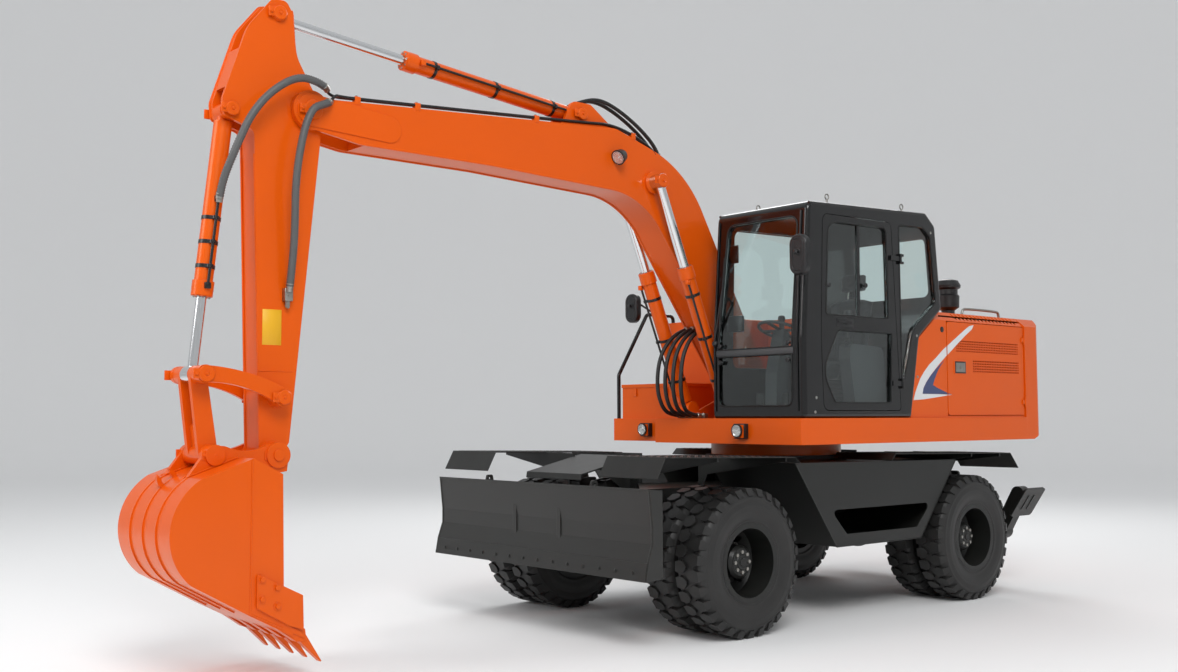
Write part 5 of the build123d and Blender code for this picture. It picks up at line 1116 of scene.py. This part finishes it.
for x, y, z in ((0.619, 1.100, 3.236), (-0.245, 1.180, 3.238), (0.635, 0.400, 3.236)):
    add_bar(eyes, spot(x, y, z - 0.035), spot(x, y, z + 0.022), 0.008, 12)
    add_turned(eyes, spot(x, y, z - 0.034), (0, 0, 1), ((0, 0), (0.022, 0), (0.022, 0.008), (0, 0.008)), 6)
    ring = [(0.021 + 0.005 * cos(2 * pi * k / 10), 0.005 * sin(2 * pi * k / 10)) for k in range(10)]
    rows = add_turned(eyes, spot(x, y, z + 0.042), (0, 1, 0), ring, 28)
    close_ring(eyes, rows[0], rows[-1])
make_piece("roof_ring_eyes", eyes, "upper", plated_steel)
handle = bmesh.new()
add_block(handle, spot(0.500, 1.2440, 2.248), spot(0.705, 1.2485, 2.312), 0.002)
add_block(handle, spot(0.520, 1.2480, 2.262), spot(0.600, 1.2560, 2.296), 0.004)
add_bar(handle, spot(0.596, 1.252, 2.284), spot(0.690, 1.252, 2.284), 0.007, 14, chamfer=0.002)
add_turned(handle, spot(0.545, 1.2550, 2.279), (0, 1, 0), ((0.010, 0), (0.010, 0.005), (0, 0.005)), 20)
make_piece("door_handle", handle, "cab_door", black_plastic)
door_knobs = bmesh.new()
for x, z in ((0.800, 2.560), (0.345, 2.585)):
    add_turned(door_knobs, spot(x, 1.225, z), (0, 1, 0), (
        (0.007, 0), (0.007, 0.018), (0.018, 0.020), (0.020, 0.030), (0.014, 0.036), (0, 0.037)), 24)
make_piece("sliding_pane_knobs", door_knobs, "cab_door", black_plastic)
cab_plugs = bmesh.new()
for x, z in ((-0.330, 2.215), (-0.555, 3.085), (0.960, 1.700), (0.975, 1.592)):
    add_turned(cab_plugs, spot(x, 1.2445, z), (0, 1, 0), (
        (0.012, 0), (0.012, 0.003), (0.008, 0.006), (0, 0.006)), 20)
make_piece("cab_screws", cab_plugs, "upper", plated_steel)
hatch = bmesh.new()
for y in (0.56, 0.99):
    add_bar(hatch, spot(-0.132, y - 0.03, 3.262), spot(-0.132, y + 0.03, 3.262), 0.009, 14)
add_block(hatch, spot(0.560, 0.70, 3.236), spot(0.600, 0.85, 3.244), 0.002)
make_piece("roof_hatch_fittings", hatch, "upper", black_plastic)


# Mirrors: the glass lies in the rear of each moulded shell, and a moulded ridge runs round its back.
# A ball on the back of each shell takes its arm.
def mirror_outline(width, height, inset):
    """A mirror's rounded outline in Y and Z, moved in from the edge of its shell."""
    half_y, half_z = width / 2 - inset, height / 2 - inset
    corner = 0.85 * half_y
    return rounded(((-half_y, -half_z, corner), (half_y, -half_z, corner), (half_y, half_z, corner),
                    (-half_y, half_z, corner)), 8)


mirror_places = (
    # X, Y and Z of the shell's middle, width, height
    (1.284, 1.352, 2.745, 0.165, 0.300),
    (0.545, -1.270, 2.566, 0.170, 0.270),
)
glass_inset, ridge_inset = 0.012, 0.032
glass_front, glass_rear = 0.050, 0.0535
glasses, balls = bmesh.new(), bmesh.new()
ridge_lines = []
for x, y, z, width, height in mirror_places:
    outline = mirror_outline(width, height, glass_inset)
    rows = []
    for back in (glass_front, glass_rear):
        rows.append([glasses.verts.new(spot(x - back, y + a, z + b)) for a, b in outline])
    glasses.faces.new(rows[0])
    glasses.faces.new(rows[1])
    for k in range(len(outline)):
        following = (k + 1) % len(outline)
        glasses.faces.new((rows[0][k], rows[0][following], rows[1][following], rows[1][k]))
    ridge = mirror_outline(width, height, ridge_inset)
    ridge_lines.append([spot(x - 0.0015, y + a, z + b) for a, b in ridge])
    add_turned(balls, spot(x - 0.004, y, z + 0.02), (1, 0, 0), (
        (0.030, 0), (0.026, 0.006), (0.012, 0.008), (0.011, 0.014), (0.017, 0.020), (0.017, 0.028),
        (0.010, 0.034), (0, 0.036)), 28)
make_piece("mirror_glasses", glasses, "upper", mirror_glass, 40)
make_piece("mirror_balls", balls, "upper", black_plastic)
tube_along("mirror_ridges", ridge_lines, 0.005, "upper", black_plastic, closed=True,
           smooth=False)


# Operator's seat: three foam pads covered in ribbed cloth, on a rubber bellows over the suspension.
# The covers are blown up a little as cloth, then the sewn channels are pressed in.
seat_cloth, nodes, links, shader = new_material("seat_cloth")
place = nodes.new("ShaderNodeTexCoord")
thread_scale = 42
weave = []
for turn in (0, pi / 2):
    lie = nodes.new("ShaderNodeMapping")
    lie.inputs["Rotation"].default_value = (0.3, turn, turn)
    links.new(place.outputs["Object"], lie.inputs["Vector"])
    threads = nodes.new("ShaderNodeTexWave")
    threads.inputs["Scale"].default_value = thread_scale
    threads.inputs["Distortion"].default_value = 0.4
    links.new(lie.outputs["Vector"], threads.inputs["Vector"])
    weave.append(threads)
crossing = nodes.new("ShaderNodeMath")
crossing.operation = "MULTIPLY"
links.new(weave[0].outputs["Fac"], crossing.inputs[0])
links.new(weave[1].outputs["Fac"], crossing.inputs[1])
cloth_shade = nodes.new("ShaderNodeMix")
cloth_shade.data_type = "RGBA"
cloth_shade.inputs["A"].default_value = (0.012, 0.013, 0.015, 1)
cloth_shade.inputs["B"].default_value = (0.045, 0.047, 0.052, 1)
links.new(crossing.outputs["Value"], cloth_shade.inputs["Factor"])
links.new(cloth_shade.outputs["Result"], shader.inputs["Base Color"])
cloth_bump = nodes.new("ShaderNodeBump")
cloth_bump.inputs["Strength"].default_value = 0.35
cloth_bump.inputs["Distance"].default_value = 0.001
links.new(crossing.outputs["Value"], cloth_bump.inputs["Height"])
links.new(cloth_bump.outputs["Normal"], shader.inputs["Normal"])
shader.inputs["Roughness"].default_value = 0.9
shader.inputs["Sheen Weight"].default_value = 0.25
shader.inputs["Sheen Roughness"].default_value = 0.4

seat_middle = 0.770
pad_voxel = 0.006
swell_cap = 0.016
swell_pressure, swell_frames = 4, 20
channel_half_width, channel_depth = 0.024, 0.010
seat_pads = (
    # name, side outline in X and Z with corner radii, half width, the channels' Y, fill
    ("seat_cushion", (
        (-0.040, 1.866, 0.030), (0.425, 1.866, 0.040), (0.434, 1.952, 0.040), (0.372, 1.990, 0.060),
        (-0.040, 1.964, 0.030)), 0.215, (-0.095, 0.095), 0.75),
    ("seat_back", (
        (-0.142, 2.545, 0.036), (-0.028, 1.972, 0.020), (0.026, 1.984, 0.020), (-0.006, 2.150, 0.150),
        (-0.076, 2.562, 0.030)), 0.205, (-0.090, 0.090), 0.7),
    ("seat_head_rest", (
        (-0.156, 2.746, 0.026), (-0.148, 2.590, 0.024), (-0.094, 2.596, 0.024), (-0.102, 2.746, 0.026)),
        0.115, (), 0.8),
)
for name, side_outline, half_width, channels, fill in seat_pads:
    block_shape = bmesh.new()
    outline = rounded(side_outline)
    rows = []
    middle = sum(outline, Vector((0, 0))) / len(outline)
    for y, pinch in ((-half_width, 0.86), (0.35 * -half_width, 1), (0.35 * half_width, 1), (half_width, 0.86)):
        row = []
        for corner in outline:
            x = middle.x + pinch * (corner.x - middle.x)
            z = middle.y + pinch * (corner.y - middle.y)
            row.append(block_shape.verts.new(spot(x, seat_middle + y, z)))
        rows.append(row)
    for near, far in zip(rows, rows[1:]):
        for k in range(len(outline)):
            following = (k + 1) % len(outline)
            block_shape.faces.new((near[k], near[following], far[following], far[k]))
    block_shape.faces.new(rows[0])
    block_shape.faces.new(rows[-1])
    bmesh.ops.recalc_face_normals(block_shape, faces=block_shape.faces)
    data = bpy.data.meshes.new(name)
    block_shape.to_mesh(data)
    block_shape.free()
    pad = bpy.data.objects.new(name, data)
    bpy.context.scene.collection.objects.link(pad)
    skin = pad.modifiers.new("Skin", "REMESH")
    skin.mode = "VOXEL"
    skin.voxel_size = pad_voxel
    data = bpy.data.meshes.new_from_object(pad.evaluated_get(bpy.context.evaluated_depsgraph_get()))
    pad.modifiers.clear()
    pad.data = data
    before = [vertex.co.copy() for vertex in data.vertices]
    cover = pad.modifiers.new("Cover", "CLOTH")
    cover.settings.use_pressure = True
    cover.settings.uniform_pressure_force = swell_pressure
    cover.settings.effector_weights.gravity = 0
    for frame_number in range(1, swell_frames + 1):
        bpy.context.scene.frame_set(frame_number)
    blown = bpy.data.meshes.new_from_object(pad.evaluated_get(bpy.context.evaluated_depsgraph_get()))
    pad.modifiers.clear()
    for vertex, was in zip(blown.vertices, before):
        step = vertex.co - was
        if step.length > swell_cap:
            vertex.co = was + step * (swell_cap / step.length)
    pad.data = blown
    bpy.context.scene.frame_set(1)
    for channel in channels:
        for vertex in pad.data.vertices:
            off = abs(vertex.co.y - seat_middle - channel)
            if off < channel_half_width:
                vertex.co -= channel_depth * (1 - off / channel_half_width) ** 2 * vertex.normal
    finer = pad.modifiers.new("Finer", "SUBSURF")
    finer.levels = 1
    finer.render_levels = 1
    data = bpy.data.meshes.new_from_object(pad.evaluated_get(bpy.context.evaluated_depsgraph_get()))
    pad.modifiers.clear()
    pad.data = data
    finish_piece(pad, "upper", seat_cloth, 80)
    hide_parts("operator_seat")
bellows = bmesh.new()
folds = [(0, 1.592)]
folds += [(0.150 if k % 2 else 0.128, 1.592 + 0.018 * k) for k in range(14)]
folds += [(0.165, 1.836), (0.165, 1.860), (0, 1.860)]
add_turned(bellows, spot(0.20, seat_middle, 0), (0, 0, 1), folds, 40)
add_turned(bellows, spot(0.20, seat_middle, 0), (0, 0, 1), (
    (0, 1.5905), (0.17, 1.5905), (0.17, 1.600), (0, 1.600)), 40)
make_piece("seat_bellows", bellows, "upper", rubber, 50)
posts = bmesh.new()
for y in (-0.05, 0.05):
    add_bar(posts, spot(-0.112, seat_middle + y, 2.530), spot(-0.124, seat_middle + y, 2.620), 0.007, 12)
make_piece("head_rest_posts", posts, "upper", plated_steel)

# Controls in the cab: each lever has a rubber boot and a moulded grip, and two pedals stand on a ribbed mat.
# A small dark monitor hangs on the right front pillar.
boots, grips = bmesh.new(), bmesh.new()
for y in (0.430, 1.110):
    add_turned(boots, spot(0.395, y, 2.100), (0, 0, 1), (
        (0, 0), (0.052, 0), (0.052, 0.008), (0.038, 0.016), (0.044, 0.024), (0.030, 0.034), (0.036, 0.042),
        (0.022, 0.052), (0.027, 0.060), (0.013, 0.072), (0, 0.072)), 28)
    add_turned(grips, spot(0.395, y, 2.285), (0, 0, 1), (
        (0, -0.010), (0.016, -0.010), (0.024, 0), (0.0235, 0.030), (0.026, 0.060), (0.031, 0.085),
        (0.027, 0.104), (0.014, 0.112), (0, 0.113)), 28)
make_piece("lever_boots", boots, "upper", rubber, 50)
make_piece("lever_grips", grips, "upper", black_plastic, 50)
mat = bmesh.new()
add_block(mat, spot(0.400, 0.500, 1.5905), spot(1.040, 1.040, 1.5940), 0.001)
for k in range(26):
    add_block(mat, spot(0.415, 0.512 + 0.020 * k, 1.5935), spot(1.025, 0.520 + 0.020 * k, 1.5965), 0)
for y in (0.640, 0.900):
    add_block(mat, spot(0.900, y - 0.035, 1.60), spot(0.915, y + 0.035, 1.74), 0.004)
    add_bar(mat, spot(0.935, y, 1.594), spot(0.912, y, 1.66), 0.009, 10)
make_piece("floor_mat", mat, "upper", rubber)
monitor = bmesh.new()
add_block(monitor, spot(0.930, 0.345, 2.235), spot(0.962, 0.505, 2.365), 0.008)
add_block(monitor, spot(0.925, 0.357, 2.247), spot(0.932, 0.493, 2.353), 0.001)
add_bar(monitor, spot(0.955, 0.345, 2.300), spot(0.985, 0.322, 2.300), 0.010, 12)
make_piece("cab_monitor", monitor, "upper", black_plastic)
inner_mirror = bmesh.new()
add_block(inner_mirror, spot(0.948, 0.375, 2.790), spot(0.962, 0.470, 2.935), 0.006)
add_bar(inner_mirror, spot(0.958, 0.380, 2.920), spot(1.000, 0.330, 2.960), 0.005, 10)
make_piece("inner_mirror", inner_mirror, "upper", black_plastic)


# Boom: a welded box. Its seams are beads, and two steel pipes lie along its top in clamps.
# They end in fittings beside the arm's pivot.
def moved_in(points, amount):
    """An anticlockwise outline of (X, Z, radius) moved inwards."""
    result = []
    for k, (x, z, radius) in enumerate(points):
        corner = Vector((x, z))
        before = (corner - Vector(points[k - 1][:2])).normalized()
        after = (Vector(points[(k + 1) % len(points)][:2]) - corner).normalized()
        inward = Vector((-before.y - after.y, before.x + after.x)) / (1 + before.dot(after))
        result.append((x + amount * inward.x, z + amount * inward.y, radius))
    return result


boom_line = (
    (4.180, 3.631, 0), (1.985, 3.789, 0.220), (1.228, 3.561, 0.950), (0.232, 1.834, 0.060),
    (0.215, 1.690, 0.070), (0.400, 1.635, 0.070), (0.505, 1.690, 0.060), (1.695, 3.292, 0.700),
    (3.167, 3.344, 0.600), (4.180, 3.347, 0),
)
arm_line = (
    (4.742, 4.206, 0.045), (4.690, 4.160, 0.070), (4.668, 3.860, 0.240), (4.492, 3.560, 0.240),
    (4.496, 3.330, 0.400), (4.690, 1.410, 0), (4.732, 1.345, 0), (4.890, 1.345, 0), (4.950, 3.200, 0),
)
bead_sink = 0.012
for body, line, face in (("boom", boom_line, 0.150), ("arm", arm_line, 0.105)):
    route = rounded(moved_in(line, 0.005), 9)
    if body == "arm":
        # The arm's bead starts part of the way round its second corner
        route = route[14:]
    beads = [[spot(x, sign * (face - bead_sink), z) for x, z in route] for sign in (1, -1)]
    ribbed_runs(f"{body}_weld_beads", beads, 0.0055, 0.011, 0.25, body, orange_enamel, 5)

pipe_black = enamel("pipe_enamel", (0.006, 0.006, 0.006), 0.35, 0.2, edge_highlight_tint=2.0)
boom_pipes = (
    (spot(1.560, 0.120, 3.640), spot(1.600, 0.120, 3.702), spot(1.985, 0.120, 3.822),
     spot(2.30, 0.120, 3.790), spot(4.330, 0.120, 3.644), spot(4.420, 0.120, 3.642),
     spot(4.470, 0.128, 3.668), spot(4.490, 0.170, 3.667)),
    (spot(1.560, 0.141, 3.640), spot(1.600, 0.141, 3.702), spot(1.985, 0.141, 3.822),
     spot(2.30, 0.141, 3.790), spot(4.280, 0.141, 3.648), spot(4.380, 0.143, 3.645),
     spot(4.430, 0.172, 3.640), spot(4.467, 0.172, 3.586)),
)
tube_along("boom_pipes", boom_pipes, 0.0098, "boom", pipe_black, turns=16)
saddles, saddle_bolts = bmesh.new(), []
for x in (1.80, 2.759, 3.786, 4.25):
    z = 3.789 - 0.0719 * (x - 1.985) - 0.012 if x > 1.985 else 3.730
    add_block(saddles, spot(x - 0.022, 0.1115, z - 0.006), spot(x + 0.022, 0.1535, z + 0.050), 0.004)
    saddle_bolts.append((spot(x, 0.1310, z + 0.050), (0, 0, 1)))
make_piece("boom_pipe_clamps", saddles, "boom", orange_enamel)
bolt_heads("boom_clamp_bolts", saddle_bolts, "boom", 0.009)
fittings = bmesh.new()
for end, way in (((4.490, 0.168, 3.667), (0.5, 0.85, 0.1)), ((4.467, 0.170, 3.586), (0.7, 0.4, -0.5))):
    way = Vector(way).normalized()
    add_turned(fittings, spot(*end) - 0.022 * way, way, (
        (0, 0), (0.017, 0), (0.019, 0.003), (0.019, 0.018), (0.016, 0.020), (0.016, 0.026),
        (0.0215, 0.028), (0.0215, 0.048), (0, 0.048)), 6)
make_piece("boom_pipe_fittings", fittings, "boom", plated_steel, 20)


# Hoses: black rubber over steel braid, with crimped ends. Each is plumbed at both ends, so none is a free cord.
# Two in a spiral wrap cross the arm's pivot, four loop under the boom's foot, two feed the arm's cylinder.
def hose_line(route, turns=14):
    """Points along a smooth route, read from its NURBS line."""
    line = bpy.data.curves.new("hose_line", "CURVE")
    line.dimensions = "3D"
    line.resolution_u = turns
    spline = line.splines.new("NURBS")
    spline.points.add(len(route) - 1)
    for point, place in zip(spline.points, route):
        point.co = (*place, 1)
    spline.order_u = 3
    spline.use_endpoint_u = True
    guide = bpy.data.objects.new("hose_line", line)
    bpy.context.scene.collection.objects.link(guide)
    data = bpy.data.meshes.new_from_object(guide.evaluated_get(bpy.context.evaluated_depsgraph_get()))
    bpy.data.objects.remove(guide)
    points = [vertex.co.copy() for vertex in data.vertices]
    bpy.data.meshes.remove(data)
    return points


hose_rubber = moulded_plastic("hose_rubber", (0.010, 0.010, 0.010), 0.55, 240, 0.3)
spiral_wrap = moulded_plastic("spiral_wrap", (0.10, 0.10, 0.10), 0.5, 120, 0.3)
wrapped_hoses = (
    (spot(4.490, 0.175, 3.667), spot(4.560, 0.225, 3.690), spot(4.750, 0.235, 3.700),
     spot(5.000, 0.225, 3.480), spot(5.130, 0.190, 3.150), spot(5.160, 0.105, 2.980),
     spot(5.162, 0.085, 2.885)),
    (spot(4.467, 0.176, 3.586), spot(4.520, 0.225, 3.560), spot(4.650, 0.240, 3.500),
     spot(4.730, 0.230, 3.100), spot(4.715, 0.200, 2.700), spot(4.723, 0.170, 2.440),
     spot(4.723, 0.150, 2.360)),
)
wrap_runs = [hose_line(route)[3:-2] for route in wrapped_hoses]
wrap = ribbed_runs("arm_hose_wrap", wrap_runs, 0.0225, 0.0085, 0.14, None, spiral_wrap, 12)
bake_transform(wrap)
inner = tube_along("arm_hoses", wrapped_hoses, 0.0165, None, hose_rubber, turns=14)
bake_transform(inner)
foot_hoses_y, feed_hoses_y = (-0.110, -0.037, 0.037, 0.110), (-0.030, 0.035)
boom_foot_hoses = []
for y in foot_hoses_y:
    boom_foot_hoses.append((
        spot(0.930, y, 2.290), spot(1.080, y, 2.270), spot(1.260, y + 0.2 * y, 2.080),
        spot(1.300, y + 0.25 * y, 1.800), spot(1.240, y + 0.1 * y, 1.610), spot(1.120, y, 1.572),
        spot(1.040, y, 1.568)))
loops = tube_along("boom_foot_hoses", boom_foot_hoses, 0.0165, None, hose_rubber, turns=14)
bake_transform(loops)
cylinder_hoses = []
for y in feed_hoses_y:
    cylinder_hoses.append((
        spot(1.415, y, 3.640), spot(1.440, y, 3.720), spot(1.620, y, 3.860), spot(1.860, y, 3.980),
        spot(2.060, y, 4.030), spot(2.230, y * 0.6, 3.985), spot(2.330, y * 0.35, 3.935)))
feeds = tube_along("arm_cylinder_hoses", cylinder_hoses, 0.0155, None, hose_rubber, turns=14)
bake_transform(feeds)
crimps = {body: bmesh.new() for body in ("boom", "upper", "bucket_cylinder_barrel", "arm")}
hose_ends = (
    # body, where, which way the hose leaves
    ("boom", spot(4.490, 0.175, 3.667), (0.75, 0.6, 0.25)),
    ("boom", spot(4.467, 0.176, 3.586), (0.72, 0.66, -0.2)),
    ("bucket_cylinder_barrel", spot(5.162, 0.085, 2.885), (0, 0.18, 1)),
    ("arm", spot(4.723, 0.150, 2.360), (0, 0.22, 1)),
)
for body, end, way in hose_ends:
    add_turned(crimps[body], end - 0.012 * Vector(way).normalized(), way, (
        (0, 0), (0.020, 0), (0.020, 0.020), (0.0235, 0.022), (0.0235, 0.058), (0.0195, 0.062),
        (0, 0.062)), 16)
for y in foot_hoses_y:
    add_turned(crimps["boom"], spot(0.925, y, 2.292), (1, 0, -0.13), (
        (0, -0.012), (0.028, -0.012), (0.028, 0.012), (0.020, 0.014), (0.020, 0.030), (0.0225, 0.032),
        (0.0225, 0.066), (0.018, 0.070), (0, 0.070)), 16)
    add_turned(crimps["upper"], spot(1.030, y, 1.568), (1, 0, 0.05), (
        (0, 0), (0.019, 0), (0.019, 0.014), (0.0205, 0.016), (0.0205, 0.050), (0.0175, 0.054),
        (0, 0.054)), 16)
add_block(crimps["upper"], spot(0.985, -0.145, 1.5465), spot(1.032, 0.145, 1.5875), 0.003)
for y in feed_hoses_y:
    add_turned(crimps["boom"], spot(1.415, y, 3.628), (0.3, 0, 1), (
        (0, -0.02), (0.028, -0.02), (0.028, 0.006), (0.019, 0.008), (0.019, 0.020), (0.0215, 0.022),
        (0.0215, 0.056), (0.017, 0.060), (0, 0.060)), 16)
for body, shape in crimps.items():
    make_piece(f"hose_ends_{body}", shape, body, plated_steel, 30)

# Cylinders: each barrel carries a steel pipe from its base to its gland, held by bands with bolts.
# The gland's head is a bolted collar, and the pipes end in welded blocks.
cylinder_trim = (
    # name, body, base and eye in X and Z, then its Y, barrel radius and length, the pipe's side, start and end
    ("boom_left", "boom_cylinder_barrels", (0.860, 1.630), (1.600, 3.410),
     0.225, 0.058, 1.215, 1, 0.14, 1.10),
    ("boom_right", "boom_cylinder_barrels", (0.860, 1.630), (1.600, 3.410),
     -0.225, 0.058, 1.215, -1, 0.14, 1.10),
    ("arm", "arm_cylinder_barrel", (2.285, 3.865), (4.796, 4.116), 0, 0.060, 1.540, 1, 0.12, 1.42),
    ("bucket", "bucket_cylinder_barrel", (5.101, 3.456), (5.280, 1.825), 0, 0.056, 1.165, 1, 0.56, 1.10),
)
gland_bolt_count = 8
port_half = Vector((0.019, 0.015, 0.019))
for name, body, base, eye, y, radius, length, side, pipe_from, pipe_to in cylinder_trim:
    foot, top = spot(base[0], y, base[1]), spot(eye[0], y, eye[1])
    way = (top - foot).normalized()
    out = Vector((0, side, 0))
    if body == "boom_cylinder_barrels":
        out = (0.75 * Vector((way.z, 0, -way.x)) + 0.66 * out).normalized()
    pipe_off = (radius + 0.018) * out
    gland_bolts, rings, ties = [], bmesh.new(), bmesh.new()
    add_turned(rings, foot + (length - 0.100) * way, way, (
        (radius - 0.002, 0), (radius + 0.010, 0.004), (radius + 0.010, 0.060), (radius + 0.004, 0.066),
        (radius + 0.004, 0.098), (radius - 0.004, 0.101), (radius - 0.010, 0.101)), 40)
    for along in (pipe_from + 0.12, (pipe_from + pipe_to) / 2, pipe_to - 0.12):
        add_turned(ties, foot + along * way, way, (
            (radius, -0.012), (radius + 0.003, -0.012), (radius + 0.003, 0.012), (radius, 0.012)), 40)
        middle = foot + along * way + (radius + 0.012) * out
        add_turned(ties, middle - 0.010 * way, way, ((0, 0), (0.021, 0), (0.021, 0.020), (0, 0.020)), 14)
    for k in range(gland_bolt_count):
        turn = Matrix.Rotation(2 * pi * k / gland_bolt_count, 3, way)
        gland_bolts.append((foot + (length + 0.0008) * way + turn @ ((radius - 0.006) * out), tuple(way)))
    make_piece(f"cylinder_collar_{name}", rings, body, orange_enamel)
    make_piece(f"cylinder_bands_{name}", ties, body, pipe_black)
    bolt_heads(f"cylinder_bolts_{name}", gland_bolts, body, 0.0052)
    tube_along(f"cylinder_pipe_{name}", [(
        foot + pipe_from * way + 0.9 * radius * out, foot + (pipe_from + 0.002) * way + pipe_off,
        foot + (pipe_from + 0.05) * way + pipe_off, foot + (pipe_to - 0.05) * way + pipe_off,
        foot + (pipe_to - 0.002) * way + pipe_off, foot + pipe_to * way + 0.9 * radius * out)],
        0.009, body, pipe_black)
    blocks = bmesh.new()
    port_out = 0.020 if body == "boom_cylinder_barrels" else 0.012
    for along in (pipe_from, pipe_to):
        middle = foot + along * way + (radius + port_out) * out
        add_block(blocks, middle - port_half, middle + port_half, 0.004)
    make_piece(f"cylinder_ports_{name}", blocks, body, pipe_black if name == "bucket" else orange_enamel)


# Arm: a steel block on its side takes the second hose, and a seam crosses it above the links' pin.
# A blank yellow plate is glued on below the block.
port = bmesh.new()
add_block(port, spot(4.695, 0.1045, 2.290), spot(4.752, 0.150, 2.372), 0.006)
add_turned(port, spot(4.723, 0.128, 2.292), (0, 0, -1), (
    (0, 0), (0.016, 0), (0.016, 0.040), (0.010, 0.046), (0, 0.046)), 6)
add_turned(port, spot(4.723, 0.149, 2.330), (0, 1, 0), ((0, 0), (0.013, 0), (0.013, 0.008), (0, 0.008)), 6)
make_piece("arm_port_block", port, "arm", plated_steel)
yellow_plate = enamel("yellow_plate", (0.80, 0.42, 0.01), 0.45, 0.1)
plate = bmesh.new()
add_block(plate, spot(4.752, 0.1048, 2.014), spot(4.880, 0.1062, 2.236), 0.0004)
make_piece("blank_plate_arm", plate, "arm", yellow_plate)
arm_seams = [[spot(4.672, sign * 0.1052, 1.852), spot(4.902, sign * 0.1052, 1.852)] for sign in (1, -1)]
ribbed_runs("arm_seam", arm_seams, 0.0040, 0.009, 0.25, "arm", orange_enamel, 6)

# Bucket: side cutters bolted to its walls, welded seams, and teeth held on their adapters by round pins.
# Shell, cutters and teeth are sprayed together.
bucket_seams = []
for sign in (1, -1):
    bucket_seams.append([spot(5.072, sign * 0.4005, 1.318), spot(5.072, sign * 0.4005, 0.425)])
    bucket_seams.append([spot(5.078, sign * 0.4005, 0.425), spot(4.862, sign * 0.4005, 0.318)])
    for y in (0.1525, 0.1925):
        bucket_seams.append([spot(x, sign * y, z) for x, z in (
            (5.060, 1.331), (5.380, 1.220), (5.430, 1.170), (5.452, 1.125))])
ribbed_runs("bucket_weld_beads", bucket_seams, 0.0050, 0.010, 0.25, "bucket", orange_enamel, 6)
cutter_bolts, tooth_pins = [], bmesh.new()
for sign in (1, -1):
    for x, z in ((5.010, 0.620), (4.915, 0.565), (5.010, 0.505), (4.910, 0.455)):
        cutter_bolts.append((spot(x, sign * 0.418, z), (0, sign, 0)))
bolt_heads("cutter_bolts", cutter_bolts, "bucket", 0.017, orange_enamel)
outer_tooth_y = 0.355
for tooth in range(5):
    middle = (tooth / 2 - 1) * outer_tooth_y
    for sign in (1, -1):
        add_turned(tooth_pins, spot(4.738, middle + sign * 0.0345, 0.258), (0, sign, 0), (
            (0.011, 0), (0.011, 0.004), (0.008, 0.0045), (0.007, 0.0015), (0, 0.0015)), 18)
make_piece("tooth_pins", tooth_pins, "bucket", orange_enamel)
